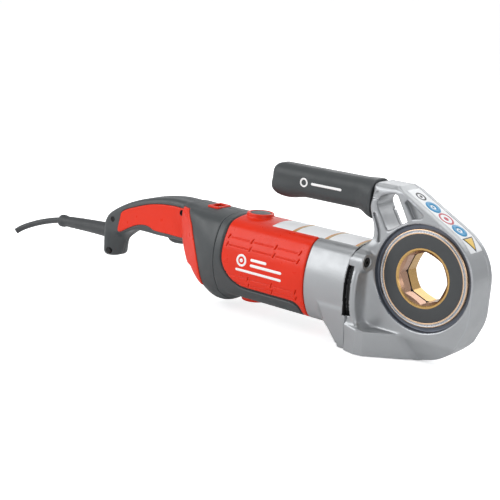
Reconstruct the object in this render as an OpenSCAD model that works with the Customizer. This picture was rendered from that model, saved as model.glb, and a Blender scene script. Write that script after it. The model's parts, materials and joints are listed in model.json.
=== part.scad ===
// Hand-held power pipe threading machine.
// The origin is on the rest face, straight below the middle of the die head socket.
// +X runs along the barrel towards the nose, +Z is up, and the socket's axis lies along Y.
// The modules below measure heights from the socket's axis; placed() lifts them onto the rest face.

/* [Drive ring and socket] */
// Distance across the flats of the eight-sided socket for the die head
socket_flats = 52.4; // [48:0.1:54]
// Radius of the ring's hub, which runs in the bushes
hub_r = 34.5; // [34:0.1:35]
// Radius of the ring where it passes through the retaining plates
neck_r = 32; // [31.5:0.1:32.5]
// Overall width of the ring, from face to face
ring_w = 37; // [36.8:0.1:37.2]
// Teeth on the ring
ring_teeth = 48; // [48:1:48]
// Size of the ring's teeth (pitch diameter over tooth count)
ring_module = 2; // [2:1:2]

/* [Head] */
// Thickness of the head casting at the nose
head_t = 42; // [41.6:0.1:42.4]
// Outer radius of the nose about the socket
nose_r = 60; // [59:0.5:61]
// Height of the head's top edge above the socket's axis
head_top = 91; // [90:1:92]
// Height of the rest face below the socket's axis
base_drop = 94; // [92:1:96]
// Where the head casting meets the gear case
flange_x = -76; // [-76:1:-76]

/* [Barrel] */
// Height of the barrel's axis relative to the socket's axis
axis_z = -27; // [-27:1:-27]
// Half of the barrel's width
barrel_half_w = 48; // [46:0.5:49]
// Half of the barrel's height
barrel_half_h = 49; // [48.5:0.5:50]
// Radius of the barrel's two side curves
barrel_side_r = 70; // [66:1:76]
// Radius of the barrel's crowned top and bottom
barrel_crown_r = 95; // [90:1:110]
// Where the gear case meets the motor housing
case_x = -131; // [-131:1:-131]
// Where the motor housing meets the rear handle
motor_x = -250; // [-250:1:-250]

/* [Front grip] */
// Half of the grip's width
grip_r = 16; // [15.5:0.5:16.5]
// Height of the grip's axis above the socket's axis
grip_z = 73.5; // [73:0.5:74]
// Where the rounded end of the grip is
grip_end_x = -214; // [-216:1:-212]

/* [Rear handle] */
// Half of the rear handle's thickness
handle_half_w = 19; // [18:0.5:21]
// Wall of the handle shells
shell_wall = 3; // [2.5:0.5:3.5]
// Travel of the reversing slide, in mm each way
slide_travel = 4; // [3:0.5:4]

/* [Cord] */
// Radius of the power cord
cord_r = 3.6; // [3:0.1:4.5]

/* [Hidden] */
$fn = 64;
running = 0.05;
eps = 0.01;
big = 400;
face_y = ring_w / 2;
half_t = head_t / 2;
plate_y = face_y - 3.5;
cover_t = 8;
cover_x = flange_x + 13;
cover_z = -66;
chamber_y = [-12.2, half_t - cover_t];
grip_stretch = 1.5;
web_x = -71;
seat_y = plate_y - 0.1;
bearing_r = 8;
socket_corner_r = socket_flats / 2 / cos(22.5);
ring_pitch_r = ring_teeth * ring_module / 2;
pinion_teeth = 13;
pinion_pitch_r = pinion_teeth * ring_module / 2;
cross_dist = ring_pitch_r + pinion_pitch_r;
cross_z = axis_z;
cross_x = -sqrt(cross_dist * cross_dist - cross_z * cross_z);
cross_angle = atan2(cross_z, cross_x);
gear_y = [-11.5, -1];
bevel_module = 1.5;
bevel_pinion_teeth = 12;
bevel_gear_teeth = 32;
bevel_pinion_r = bevel_pinion_teeth * bevel_module / 2;
bevel_gear_r = bevel_gear_teeth * bevel_module / 2;
bevel_slant = norm([bevel_pinion_r, bevel_gear_r]);
bevel_face = 8;
lay_module = 1;
small_teeth = 10;
large_teeth = 40;
lay_dist = (small_teeth + large_teeth) * lay_module / 2;
lay_angle = -45;
lay_y = lay_dist * cos(lay_angle);
lay_z = axis_z + lay_dist * sin(lay_angle);
lay_r = 3.5;
shaft_r = 5;
hub_bush_r = 38;
plate_out_r = 47;
rim_out_r = 52.5;
bore_edge_r = 57;
grip_core_r = 11;
brush_x = -233;
commutator_r = 13;
core_x = [-208, -158];
core_r = 23;

// ---------- Helpers ----------

// Lays a flat drawing in the XZ plane and thickens it from y0 to y1.
module along_y(y0, y1) {
    translate([0, y1, 0])
        rotate([90, 0, 0])
            linear_extrude(y1 - y0)
                children();
}

// Stands a flat drawing (its x is Y, its y is Z) across the barrel, from x0 to x1.
module along_x(x0, x1) {
    translate([x0, 0, 0])
        rotate([90, 0, 90])
            linear_extrude(x1 - x0)
                children();
}

// A round bar along X, centred on (y, z).
module bar_x(x0, x1, r, y = 0, z = axis_z) {
    translate([x0, y, z])
        rotate([0, 90, 0])
            cylinder(h = x1 - x0, r = r);
}

// A round bar along Y, centred on (x, z).
module bar_y(y0, y1, r, x = 0, z = 0) {
    translate([x, y1, z])
        rotate([90, 0, 0])
            cylinder(h = y1 - y0, r = r);
}

// A round bar along Z, centred on (x, y).
module bar_z(z0, z1, r, x = 0, y = 0) {
    translate([x, y, z0])
        cylinder(h = z1 - z0, r = r);
}

// A ring along X.
module ring_x(x0, x1, r_out, r_in, y = 0, z = axis_z) {
    difference() {
        bar_x(x0, x1, r_out, y, z);
        bar_x(x0 - 1, x1 + 1, r_in, y, z);
    }
}

// A ring along Y.
module ring_y(y0, y1, r_out, r_in, x = 0, z = 0) {
    difference() {
        bar_y(y0, y1, r_out, x, z);
        bar_y(y0 - 1, y1 + 1, r_in, x, z);
    }
}

// The barrel's section: two shallow side curves, and a crowned top and bottom.
module barrel_section(inset = 0) {
    shift = barrel_side_r - barrel_half_w;
    rise = barrel_crown_r - barrel_half_h;
    translate([0, axis_z])
        intersection() {
            translate([-shift, 0]) circle(barrel_side_r - inset);
            translate([shift, 0]) circle(barrel_side_r - inset);
            translate([0, -rise]) circle(barrel_crown_r - inset);
            translate([0, rise]) circle(barrel_crown_r - inset);
        }
}

// ---------- Gear teeth ----------

pressure = 20;
function involute(a) = tan(a) * 180 / PI - a;

// Half of a tooth's width, as an angle, at radius r of a gear with n teeth and pitch radius rp.
function tooth_half(n, rp, r, slack) =
    let (rb = rp * cos(pressure), at_r = acos(min(1, rb / max(r, rb))))
    90 / n * (1 - slack) + involute(pressure) - involute(at_r);

// Outline of a spur gear, with one tooth centred on the angle phase.
module spur(n, m, phase, tip = 0.8, root = 1.15, slack = 0.1) {
    rp = n * m / 2;
    r_tip = rp + tip * m;
    r_root = rp - root * m;
    r_base = max(rp * cos(pressure), r_root + eps);
    half_tip = tooth_half(n, rp, r_tip, slack);
    half_mid = tooth_half(n, rp, rp, slack);
    half_base = tooth_half(n, rp, r_base, slack);
    polygon([
        for (i = [0 : n - 1], p = [[r_root, -half_base], [r_base, -half_base], [rp, -half_mid],
                [r_tip, -half_tip], [r_tip, half_tip], [rp, half_mid],
                [r_base, half_base], [r_root, half_base]])
            let (a = phase + i * 360 / n + p[1])
            p[0] * [cos(a), sin(a)]
    ]);
}

// Outline of a bevel gear's teeth on the flat that lies at the given distance from the cone's tip.
module bevel(n, cone, dist, phase, slack = 0.14) {
    m = bevel_module;
    rv = n * m / 2 / cos(cone);
    half_tip = tooth_half(n / cos(cone), rv, rv + 0.7 * m, slack) / cos(cone);
    half_root = tooth_half(n / cos(cone), rv, rv, slack) / cos(cone);
    r_tip = dist * tan(cone + atan(0.7 * m / bevel_slant));
    r_root = dist * tan(cone - atan(1.1 * m / bevel_slant));
    polygon([
        for (i = [0 : n - 1], p = [[r_root, -half_root], [r_tip, -half_tip],
                [r_tip, half_tip], [r_root, half_root]])
            let (a = phase + i * 360 / n + p[1])
            p[0] * [cos(a), sin(a)]
    ]);
}

// ---------- Head ----------

// Side outline of the head: the nose, the sloping top, the grip end and the base.
module head_outline() {
    hull() {
        circle(nose_r);
        translate([-37, head_top - 8]) circle(8);
        translate([web_x, head_top - 8]) square([8, 8]);
        translate([web_x, -20]) square([10, 10]);
    }
    hull() {
        circle(nose_r);
        translate([10, -28]) circle(49.5);
        translate([7, 44 - base_drop]) circle(44);
        translate([flange_x, -base_drop]) square([10, 20]);
        translate([flange_x, -20]) square([10, 10]);
    }
}

// The cored window of the upper web.
module web_window()
    polygon([[-62, 68], [-58, 76], [-44, 82], [-38, 81], [-24, 56], [-45, 44], [-50, 46]]);

// The shallow pocket between the window and the label.
module web_pocket()
    polygon([[-29, 76], [-26, 79], [-4, 66], [-8, 62], [-18, 60]]);

// The area that the back cover closes.
module cover_area()
    translate([cover_x, cover_z]) square([2 * big, 2 * big]);

// The chamber for the gears, open to the back and to the gear case.
module gear_chamber() {
    bar_y(chamber_y[0], chamber_y[1], 51.5);
    bar_y(chamber_y[0], chamber_y[1], 17, cross_x, cross_z);
    bar_y(4, chamber_y[1], 26.5, cross_x, cross_z);
    bar_x(flange_x - 1, cross_x, 11.5);
}

cover_holes = [[-22, 63], [38, -54], [-54, -60], [-12, -61], [-59, 15]];

// Screws that join the head to the gear case, as [across, up].
case_bolts = [[-34, axis_z + 34], [34, axis_z + 34]];
bolt_seat_x = -64;
foot_bolts = [[-26, 14 - base_drop], [26, 14 - base_drop]];
foot_seat_x = flange_x - 8;
foot_h = 27;

// Cast head, with the bell that meets the barrel, the wide base and the grip's core.
module head_casting() color("silver")
    difference() {
        union() {
            along_y(-half_t, half_t) head_outline();
            along_x(flange_x, flange_x + 20) barrel_section();
            translate([0, 0, -base_drop])
                linear_extrude(foot_h)
                    polygon([[flange_x, -40], [-60, -44], [-50, -42], [4, -3],
                        [4, 3], [-50, 42], [-60, 44], [flange_x, 40]]);
            bar_x(-185, web_x + 4, grip_core_r, 0, grip_z);
        }
        gear_chamber();
        along_y(chamber_y[1], big) cover_area();
        bar_y(-big, big, hub_bush_r);
        bar_y(-big, -plate_y, bore_edge_r);
        along_y(-big, big) web_window();
        along_y(-big, 6 - half_t) web_pocket();
        bar_y(-seat_y, chamber_y[0] + 1, bearing_r, cross_x, cross_z);
        bar_x(-186, -150, 2.6, 0, grip_z);
        for (p = case_bolts) {
            bar_x(flange_x - 1, bolt_seat_x + 1, 2.6, p[0], p[1]);
            bar_x(bolt_seat_x, bolt_seat_x + 10, 5.5, p[0], p[1]);
        }
        for (p = foot_bolts) bar_x(flange_x - 1, flange_x + 16, 2.6, p[0], p[1]);
        for (p = cover_holes) bar_y(2, half_t, 2.1, p[0], p[1]);
    }

// Plate that closes the gear chamber at the back.
module head_cover() color("darkgray")
    difference() {
        along_y(chamber_y[1], half_t)
            difference() {
                intersection() {
                    head_outline();
                    cover_area();
                }
                web_window();
                circle(hub_bush_r);
            }
        bar_y(plate_y, big, bore_edge_r);
        bar_y(chamber_y[1] - 1, seat_y, bearing_r, cross_x, cross_z);
        for (p = cover_holes) {
            bar_y(chamber_y[1] - 1, half_t + 1, 2.1, p[0], p[1]);
            bar_y(half_t - 3, half_t + 1, 3.6, p[0], p[1]);
        }
    }

module cover_screws() color("dimgray")
    for (p = cover_holes) {
        bar_y(4, half_t - 3 + eps, 2.1, p[0], p[1]);
        bar_y(half_t - 3, half_t - 0.5, 3.5, p[0], p[1]);
    }

// ---------- Drive ring ----------

module front_bush() color("peru")
    ring_y(-plate_y, chamber_y[0], hub_bush_r, hub_r + running);

module rear_bush() color("peru")
    ring_y(chamber_y[1], plate_y, hub_bush_r, hub_r + running);

// Dark retaining plate around the socket; the hub turns inside it.
module front_plate() color("dimgray")
    ring_y(-face_y, -plate_y, plate_out_r, neck_r + running);

module rear_plate() color("dimgray")
    ring_y(plate_y, face_y, plate_out_r, neck_r + running);

// Plated rim around the plate, with a groove between its two lips.
module rim() {
    difference() {
        ring_y(plate_y, face_y, rim_out_r, plate_out_r);
        ring_y(face_y - 1.5, face_y + 1, plate_out_r + 3.2, plate_out_r + 2);
    }
}

module front_rim() color("gold") mirror([0, 1, 0]) rim();
module rear_rim() color("gold") rim();

// The ring that carries the die head: hub, teeth, and an eight-sided socket right through.
module drive_ring() color("goldenrod")
    difference() {
        union() {
            bar_y(-face_y, face_y, neck_r);
            bar_y(0.1 - plate_y, plate_y - 0.1, hub_r);
            along_y(gear_y[0], gear_y[1])
                spur(ring_teeth, ring_module, cross_angle);
        }
        along_y(-face_y - 1, face_y + 1)
            circle(socket_corner_r, $fn = 8);
        for (side = [0, 180])
            rotate([-90 + side, 0, 0])
                translate([0, 0, -face_y - eps])
                    cylinder(h = 4, r1 = 30.2, r2 = 26);
        bar_y(-3.3, -0.9, 29.8);
    }

// Split spring ring in the groove of the socket.
module socket_snap_ring() color("dimgray")
    difference() {
        ring_y(-3, -1.2, 29.6, 27.4);
        translate([20, -5, -3]) cube([20, 5, 6]);
    }

// ---------- Cross shaft ----------

module cross_shaft() color("lightgray")
    bar_y(0.1 - seat_y, seat_y - 0.1, shaft_r, cross_x, cross_z);

module spur_pinion() color("lightgray")
    difference() {
        translate([cross_x, 0, cross_z])
            along_y(gear_y[0] - 0.3, gear_y[1] + 0.5)
                spur(pinion_teeth, ring_module, cross_angle + 180 + 180 / pinion_teeth);
        bar_y(-20, 5, shaft_r, cross_x, cross_z);
    }

module bevel_gear() color("lightgray") {
    cone = atan(bevel_gear_r / bevel_pinion_r);
    far = 12;
    near = bevel_pinion_r * (1 - bevel_face / bevel_slant);
    difference() {
        intersection() {
            translate([cross_x, far, cross_z])
                rotate([90, 0, 0])
                    linear_extrude(height = far - near, scale = near / far)
                        bevel(bevel_gear_teeth, cone, far, 180 + 180 / bevel_gear_teeth);
            bar_y(0, 20, bevel_gear_r + 0.6, cross_x, cross_z);
        }
        bar_y(-1, 20, shaft_r, cross_x, cross_z);
    }
}

module cross_bearings() color("gray") {
    ring_y(-seat_y, gear_y[0] - 0.4, bearing_r, shaft_r + running, cross_x, cross_z);
    ring_y(12.2, seat_y, bearing_r, shaft_r + running, cross_x, cross_z);
}

// ---------- Barrel gears ----------

module bevel_pinion_shaft() color("lightgray") {
    cone = atan(bevel_pinion_r / bevel_gear_r);
    near = bevel_gear_r * (1 - bevel_face / bevel_slant);
    translate([cross_x - bevel_gear_r, 0, axis_z])
        rotate([90, 0, 90])
            linear_extrude(height = bevel_gear_r - near, scale = near / bevel_gear_r)
                bevel(bevel_pinion_teeth, cone, bevel_gear_r, 0);
    bar_x(-107, cross_x - bevel_gear_r + eps, shaft_r);
}

module bevel_shaft_gear() color("lightgray")
    difference() {
        along_x(-100, -93)
            translate([0, axis_z])
                spur(large_teeth, lay_module, lay_angle, tip = 0.6);
        bar_x(-101, -92, shaft_r);
    }

module bevel_shaft_bearings() color("gray") {
    ring_x(-91.5, -83.5, 11, shaft_r + running);
    ring_x(-107, -101.5, 9, shaft_r + running);
}

module layshaft() color("lightgray") {
    bar_x(-127, -100 + eps, lay_r, lay_y, lay_z);
    along_x(-100, -92.5)
        translate([lay_y, lay_z])
            spur(small_teeth, lay_module, lay_angle + 180 + 180 / small_teeth, tip = 1);
    bar_x(-92.5 - eps, -85, lay_r, lay_y, lay_z);
}

module layshaft_gear() color("lightgray")
    difference() {
        along_x(-118, -110.5)
            translate([lay_y, lay_z])
                spur(large_teeth, lay_module, lay_angle + 180, tip = 0.6);
        bar_x(-119, -110, lay_r, lay_y, lay_z);
    }

module layshaft_bearings() color("gray") {
    ring_x(-91, -85, 8, lay_r + running, lay_y, lay_z);
    ring_x(-127, -121, 8, lay_r + running, lay_y, lay_z);
}

// ---------- Gear case ----------

case_wall = 4;

// Cast gear case with its front web, and the flange foot that reaches down to the base.
module gear_case() color("silver")
    difference() {
        union() {
            along_x(case_x, flange_x) barrel_section();
            hull() {
                translate([flange_x - 10, -36, -base_drop]) cube([10, 72, 6]);
                translate([flange_x - 28, -36, axis_z - 42]) cube([28, 72, 6]);
            }
        }
        along_x(case_x - 1, flange_x - 16) barrel_section(case_wall);
        bar_x(flange_x - 17, flange_x + 1, 11);
        bar_x(flange_x - 17, flange_x - 9, 8, lay_y, lay_z);
        bar_y(4, chamber_y[1], 26.5, cross_x, cross_z);
        for (p = case_bolts) bar_x(flange_x - 13, flange_x + 1, 2.6, p[0], p[1]);
        for (p = foot_bolts) {
            bar_x(foot_seat_x - 1, flange_x + 1, 2.6, p[0], p[1]);
            bar_x(foot_seat_x - 20, foot_seat_x, 5.5, p[0], p[1]);
        }
    }

// Socket screw along +x: its head starts at the origin and points back.
module case_screw(length)
    difference() {
        union() {
            bar_x(-eps, length, 2.6, 0, 0);
            bar_x(-5, 0, 4.5, 0, 0);
        }
        translate([-6, 0, 0])
            rotate([0, 90, 0]) cylinder(h = 4, r = 2.3, $fn = 6);
    }

// The upper pair goes in from the head's bosses, the lower pair from behind the foot.
module case_screws() color("dimgray") {
    for (p = case_bolts)
        translate([bolt_seat_x, p[0], p[1]])
            mirror([1, 0, 0]) case_screw(bolt_seat_x - flange_x + 12);
    for (p = foot_bolts)
        translate([foot_seat_x, p[0], p[1]])
            case_screw(flange_x - foot_seat_x + 15);
}

// Plate across the case that carries the inner end of the bevel shaft.
module bearing_bridge() color("darkgray")
    difference() {
        along_x(-108.5, -101.5) barrel_section(case_wall + 0.1);
        bar_x(-109, -101, 9);
        bar_x(-110, -100, 6, lay_y, lay_z);
    }

// Plate between the gears and the motor.
module motor_plate() color("darkgray")
    difference() {
        along_x(-130.5, -121) barrel_section(case_wall + 0.1);
        bar_x(-128.5, -120, 11);
        bar_x(-131, -120, 6.5);
        bar_x(-127, -120, 8, lay_y, lay_z);
    }

// ---------- Motor ----------

module armature_shaft() color("lightgray") {
    bar_x(-249, -119 + eps, shaft_r);
    along_x(-119, -110)
        translate([0, axis_z])
            spur(small_teeth, lay_module, lay_angle + 180 / small_teeth, tip = 1);
}

// Laminated core with winding slots.
module armature_core() color("gray")
    along_x(core_x[0], core_x[1])
        translate([0, axis_z])
            difference() {
                circle(core_r);
                circle(shaft_r);
                for (a = [0 : 30 : 330])
                    rotate(a) translate([17, 0]) square([20, 2.4], center = true);
            }

module armature_coils() color("chocolate") {
    ring_x(core_x[0] - 7, core_x[0], 19, shaft_r);
    ring_x(core_x[1], core_x[1] + 7, 19, shaft_r);
}

module commutator() color("peru")
    ring_x(-239.5, -223.5, commutator_r, shaft_r);

// Cooling fan with radial blades.
module fan() color("dimgray")
    difference() {
        union() {
            bar_x(-144, -136, 9);
            bar_x(-138, -136, 35);
            for (a = [0 : 36 : 324])
                translate([0, 0, axis_z]) rotate([a, 0, 0])
                    translate([-144, 6, -0.8]) cube([7, 28, 1.6]);
        }
        bar_x(-145, -135, shaft_r);
    }

module armature_bearings() color("gray") {
    ring_x(-128.5, -121.5, 11, shaft_r + running);
    ring_x(-248.5, -241.5, 11, shaft_r + running);
}

// Laminated field ring with two poles.
module stator_core() color("gray")
    along_x(core_x[0] + 1, core_x[1] - 1)
        translate([0, axis_z])
            difference() {
                circle(40);
                circle(core_r + 0.8);
                for (s = [-1, 1]) {
                    intersection() {
                        circle(35);
                        translate([0, s * 30]) square([50, 26], center = true);
                    }
                }
            }

// The two field coils, wound round the poles.
module field_coils() color("saddlebrown")
    for (s = [-1, 1])
        along_x(core_x[0] - 4, core_x[1] + 4)
            translate([0, axis_z])
                intersection() {
                    difference() {
                        circle(34.5);
                        circle(core_r + 1.5);
                    }
                    translate([0, s * 30]) square([46, 25], center = true);
                }

module brush_holders() color("goldenrod")
    for (s = [0, 180])
        translate([brush_x, 0, axis_z]) rotate([s, 0, 0])
            difference() {
                bar_z(commutator_r + 1, 39, 7.5);
                translate([-5, -3.5, 0]) cube([10, 7, big]);
            }

module brushes() color("darkslategray")
    for (s = [0, 180])
        translate([brush_x, 0, axis_z]) rotate([s, 0, 0])
            translate([-4.9, -3.4, commutator_r + 0.3]) cube([9.8, 6.8, 14]);

// Each coil spring is a stack of rings joined by a thin core.
module brush_springs() color("silver")
    for (s = [0, 180])
        translate([brush_x, 0, axis_z]) rotate([s, 0, 0])
            difference() {
                union() {
                    bar_z(27.5, 38.5, 2);
                    for (i = [0 : 4]) bar_z(27.5 + i * 2.45, 28.7 + i * 2.45, 3);
                }
                bar_z(27, 40, 1.2);
            }

// Screw cap over a brush, with a coin slot.
module brush_cap()
    difference() {
        union() {
            bar_z(39.5, 46, 8.4);
            bar_z(46, boss_top, cap_r);
        }
        translate([-9, -1.2, boss_top - 1.5]) cube([18, 2.4, 3]);
    }

module brush_cap_top() color("dimgray")
    translate([brush_x, 0, axis_z]) brush_cap();

module brush_cap_bottom() color("dimgray")
    translate([brush_x, 0, axis_z]) rotate([180, 0, 0]) brush_cap();

housing_wall = 3;
boss_r = 16.2;
boss_top = 53;
cap_r = 12;
sled_z = -57;
sled_x = [-250, -139];
collar_x = -262;

// Below the sled's top edge the housing leaves room for the sled.
module sled_zone(gap) {
    along_x(sled_x[0] - 1, sled_x[1] - gap)
        translate([0, sled_z - 50 - gap]) square([2 * big, 100], center = true);
}

rear_holes = [[-30, axis_z + 26], [30, axis_z + 26], [-30, axis_z - 24], [30, axis_z - 24]];

// Motor housing with cooling slots, a boss over each brush, and the rear bearing web.
module motor_housing() color("orangered")
    difference() {
        union() {
            difference() {
                union() {
                    along_x(motor_x, case_x) barrel_section();
                    for (s = [0, 180])
                        translate([brush_x, 0, axis_z]) rotate([s, 0, 0])
                            bar_z(38, boss_top, boss_r);
                }
                along_x(motor_x + 10, case_x + 1) barrel_section(housing_wall + 2.2);
                difference() {
                    sled_zone(0);
                    along_x(motor_x, case_x) barrel_section(2.2);
                    translate([brush_x, 0, -big]) cylinder(h = big, r = boss_r);
                }
            }
            along_x(motor_x + 10 - eps, -157)
                translate([0, axis_z])
                    difference() {
                        for (a = [45, 135]) rotate(a) square([2 * 44, 4], center = true);
                        circle(40.1);
                    }
        }
        bar_x(motor_x - 1, motor_x + 20, 11);
        for (s = [0, 180])
            translate([brush_x, 0, axis_z]) rotate([s, 0, 0]) {
                bar_z(14, 60, 8.5);
                bar_z(46, 60, cap_r + 0.2);
            }
        for (side = [-1, 1], x = [-222 : 32 : -158], z = [22, 27, -22, -27])
            translate([x, side * 40, axis_z + z]) cube([24, 30, 1.2], center = true);
        for (p = rear_holes) bar_x(motor_x - 1, motor_x + 11, 2.1, p[0], p[1]);
    }

// Dark collar behind the motor housing, and the shell that runs from it under the housing.
module lower_sled() color("dimgray") {
    difference() {
        intersection() {
            along_x(motor_x - 1, case_x) barrel_section();
            sled_zone(0.1);
        }
        along_x(motor_x, case_x + 1) barrel_section(2.2);
        bar_z(-big, 0, boss_r + 0.1, brush_x, 0);
    }
    difference() {
        along_x(collar_x, motor_x) barrel_section();
        along_x(collar_x - 1, motor_x + 1) barrel_section(22);
        bar_z(-big, big, boss_r + 0.1, brush_x, 0);
        for (p = rear_holes) bar_x(collar_x - 1, motor_x + 1, 2.2, p[0], p[1]);
    }
}

// ---------- Front grip ----------

// Section of the grip: taller than it is wide.
module grip_section() {
    for (s = [-1, 1])
        translate([0, grip_z + s * grip_stretch]) circle(grip_r);
    translate([-grip_r, grip_z - grip_stretch])
        square([2 * grip_r, 2 * grip_stretch]);
}

module grip_sleeve() color("dimgray")
    difference() {
        union() {
            along_x(grip_end_x + 10, web_x) grip_section();
            for (s = [-1, 1])
                translate([grip_end_x + 10, 0, grip_z + s * grip_stretch])
                    rotate([0, 90, 0])
                        rotate_extrude()
                            translate([grip_r - 10, 0]) intersection() {
                                circle(10);
                                translate([0, -10]) square([10, 10]);
                            }
            bar_x(grip_end_x, grip_end_x + 11, grip_r - 10 + eps, 0, grip_z);
            along_x(web_x - 10, web_x)
                translate([0, grip_z - 17]) square([2 * grip_r - 4, 16], center = true);
        }
        bar_x(-186, 0, grip_core_r, 0, grip_z);
        bar_x(grip_end_x - 1, -180, 3, 0, grip_z);
        bar_x(grip_end_x - 1, grip_end_x + 8, 5.5, 0, grip_z);
    }

module grip_bolt() color("gray") {
    bar_x(grip_end_x + 8, -155, 2.6, 0, grip_z);
    bar_x(grip_end_x + 3, grip_end_x + 8, 5, 0, grip_z);
}

// ---------- Rear handle ----------

// Side outline of the arch and the foot.
module arch_outline(inset = 0)
    polygon([[-290, 21.5 - inset], [-347, 22 - inset], [-377, 19.4 - inset], [-418, 10.8 - inset],
        [-449 + inset / 2, -1.4 - inset], [-469 + inset, -15.7 - inset / 2], [-477 + inset, -30],
        [-478 + inset, -72 + inset], [-445 - inset, -72 + inset], [-432 - inset, -65],
        [-427 - inset, -50], [-414 - inset, -32 + inset], [-400, -25 + inset], [-290, -25 + inset]]);

// Rear of the motor, swept down and in towards the handle.
module rear_dome(inset = 0) {
    hull() {
        along_x(collar_x - 6, collar_x - (inset > 0 ? 2.9 : 0)) barrel_section(inset);
        translate([-282, 0, -32.5]) dome_rib(41 - inset, 54 - inset);
        translate([-318, 0, -18]) dome_rib(24 - inset, 38 - inset);
    }
}

// Upright rounded bar used as a rib of the dome: half width hw and half height hh.
module dome_rib(hw, hh) {
    for (s = [-1, 1])
        translate([0, 0, s * (hh - 18)])
            rotate([90, 0, 0]) cylinder(h = 2 * hw - 20, r = 18, center = true, $fn = 24);
    translate([0, 0, 0]) cube([20, 2 * hw, 2 * hh - 50], center = true);
}

module handle_solid(inset) {
    rear_dome(inset);
    along_y(-handle_half_w + inset, handle_half_w - inset) arch_outline(inset);
}

// Openings of the handle: trigger, reversing slide, cord boot, inlays and screws.
module handle_cuts() {
    translate([-402, -7, -45]) cube([62, 14, 40]);
    translate([slide_x - slide_opening / 2, -8, 10]) cube([slide_opening, 16, 20]);
    bar_x(-490, -470, 9.5, 0, cord_z);
    for (p = handle_bolts) bar_y(-big, big, 2, p[0], p[1]);
    for (p = handle_bolts, s = [-1, 1])
        bar_y(s > 0 ? handle_half_w - 4 : -big, s > 0 ? big : -handle_half_w + 4, 4, p[0], p[1]);
    for (s = [-1, 1])
        along_y(s > 0 ? handle_half_w - 1.5 : -big, s > 0 ? big : -handle_half_w + 1.5)
            inlay_outline(0.1);
}

handle_bolts = [[-459, -22], [-467, -65], [-342, 8]];

module handle_half(side) {
    difference() {
        handle_solid(0);
        handle_solid(shell_wall);
        handle_cuts();
        translate([-big - 200, side > 0 ? -big : 0, -big / 2]) cube([big + 200, big, big]);
        for (p = rear_holes) bar_x(collar_x - 20, collar_x + 1, 2.2, p[0], p[1]);
        for (s = [-1, 1]) crescent_solid(s, 0.1);
        slide_pocket();
    }
}

slide_x = -297;
slide_seat_z = 20.5;
slide_length = 4;
slide_half_w = 7;
bezel_half = [8.8, 12.5];
slide_opening = slide_length + 2 * slide_travel + 1;

// Shallow pocket that the slide's frame sits in.
module slide_pocket()
    translate([slide_x - bezel_half[0] - 0.1, -bezel_half[1] - 0.1, slide_seat_z - 2])
        cube([2 * bezel_half[0] + 0.2, 2 * bezel_half[1] + 0.2, 10]);

module handle_left_shell() color("dimgray") handle_half(-1);
module handle_right_shell() color("dimgray") handle_half(1);

module handle_screws() color("black")
    for (p = handle_bolts) {
        bar_y(-handle_half_w + 4, handle_half_w - 4, 2, p[0], p[1]);
        bar_y(-handle_half_w + 1, -handle_half_w + 4, 3.6, p[0], p[1]);
    }

// Side outline of the red insert in the handle.
module inlay_outline(grow = 0) {
    offset(delta = grow)
        polygon([[-336, 13.5], [-360, 14], [-380, 12], [-400, 8], [-420, 0.5], [-440, -9],
            [-449, -38], [-440, -34], [-425, -25], [-410, -20], [-398, -18.5], [-385, -22], [-336, -22]]);
}

module inlay(side)
    along_y(side < 0 ? -handle_half_w : handle_half_w - 1.5, side < 0 ? -handle_half_w + 1.5 : handle_half_w)
        difference() {
            inlay_outline();
            for (p = handle_bolts) translate(p) circle(4.2);
        }

module left_inlay() color("orangered") inlay(-1);
module right_inlay() color("orangered") inlay(1);

// Red trim blade that curves down the back of the dome on one side.
module crescent_solid(side, grow) {
    hull()
        for (p = [[-329, 2, 21], [-331, -14, 22], [-326, -36, 23], [-308, -60, 25]])
            translate([p[0], side * p[2], p[1]])
                cube([9 + 2 * grow, 7 + 2 * grow, 12 + 2 * grow], center = true);
}

module crescent(side)
    difference() {
        crescent_solid(side, 0);
        handle_solid(0.8);
    }

module left_crescent() color("orangered") crescent(-1);
module right_crescent() color("orangered") crescent(1);

// Frame around the reversing slide.
module slide_bezel() color("orangered")
    difference() {
        translate([slide_x - bezel_half[0], -bezel_half[1], slide_seat_z - 2])
            cube([2 * bezel_half[0], 2 * bezel_half[1], 4]);
        translate([slide_x - slide_opening / 2, -8, slide_seat_z - 4]) cube([slide_opening, 16, 8]);
    }

module reversing_slide() color("dimgray")
    translate([slide_x, 0, 0]) {
        translate([-slide_length / 2, -slide_half_w, 17])
            cube([slide_length, 2 * slide_half_w, 3.5]);
        translate([-1, 2 - slide_half_w, 20.5 - eps]) cube([2, 2 * slide_half_w - 4, 1.2]);
    }

// Paddle trigger under the handle; it hinges at its front end.
trigger_axis = [-350, -19];

module trigger() color("dimgray")
    difference() {
        along_y(-6.5, 6.5)
            polygon([[-344, -31], [-344, -15], [-354, -14], [-390, -17], [-399, -22],
                [-399, -28], [-372, -28.5], [-366, -32]]);
        bar_y(-10, 10, 2.05, trigger_axis[0], trigger_axis[1]);
    }

module trigger_pin() color("silver")
    bar_y(shell_wall - handle_half_w, handle_half_w - shell_wall, 2, trigger_axis[0], trigger_axis[1]);

module trigger_spring() color("silver")
    difference() {
        bar_z(-15.6, -9.5, 2.6, -381, 0);
        bar_z(-17, -8, 1.6, -381, 0);
    }

module switch_body() color("black") {
    translate([-388, -9, -9.5]) cube([40, 18, 18]);
}

module capacitor() color("goldenrod")
    translate([-412, -8, -12]) cube([20, 16, 12]);

module cord_clamp() color("gray")
    difference() {
        translate([-462, -12, cord_z - 8]) cube([9, 24, 16]);
        bar_x(-470, -450, 5, 0, cord_z);
    }

// ---------- Cord ----------

cord_z = -44;

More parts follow.
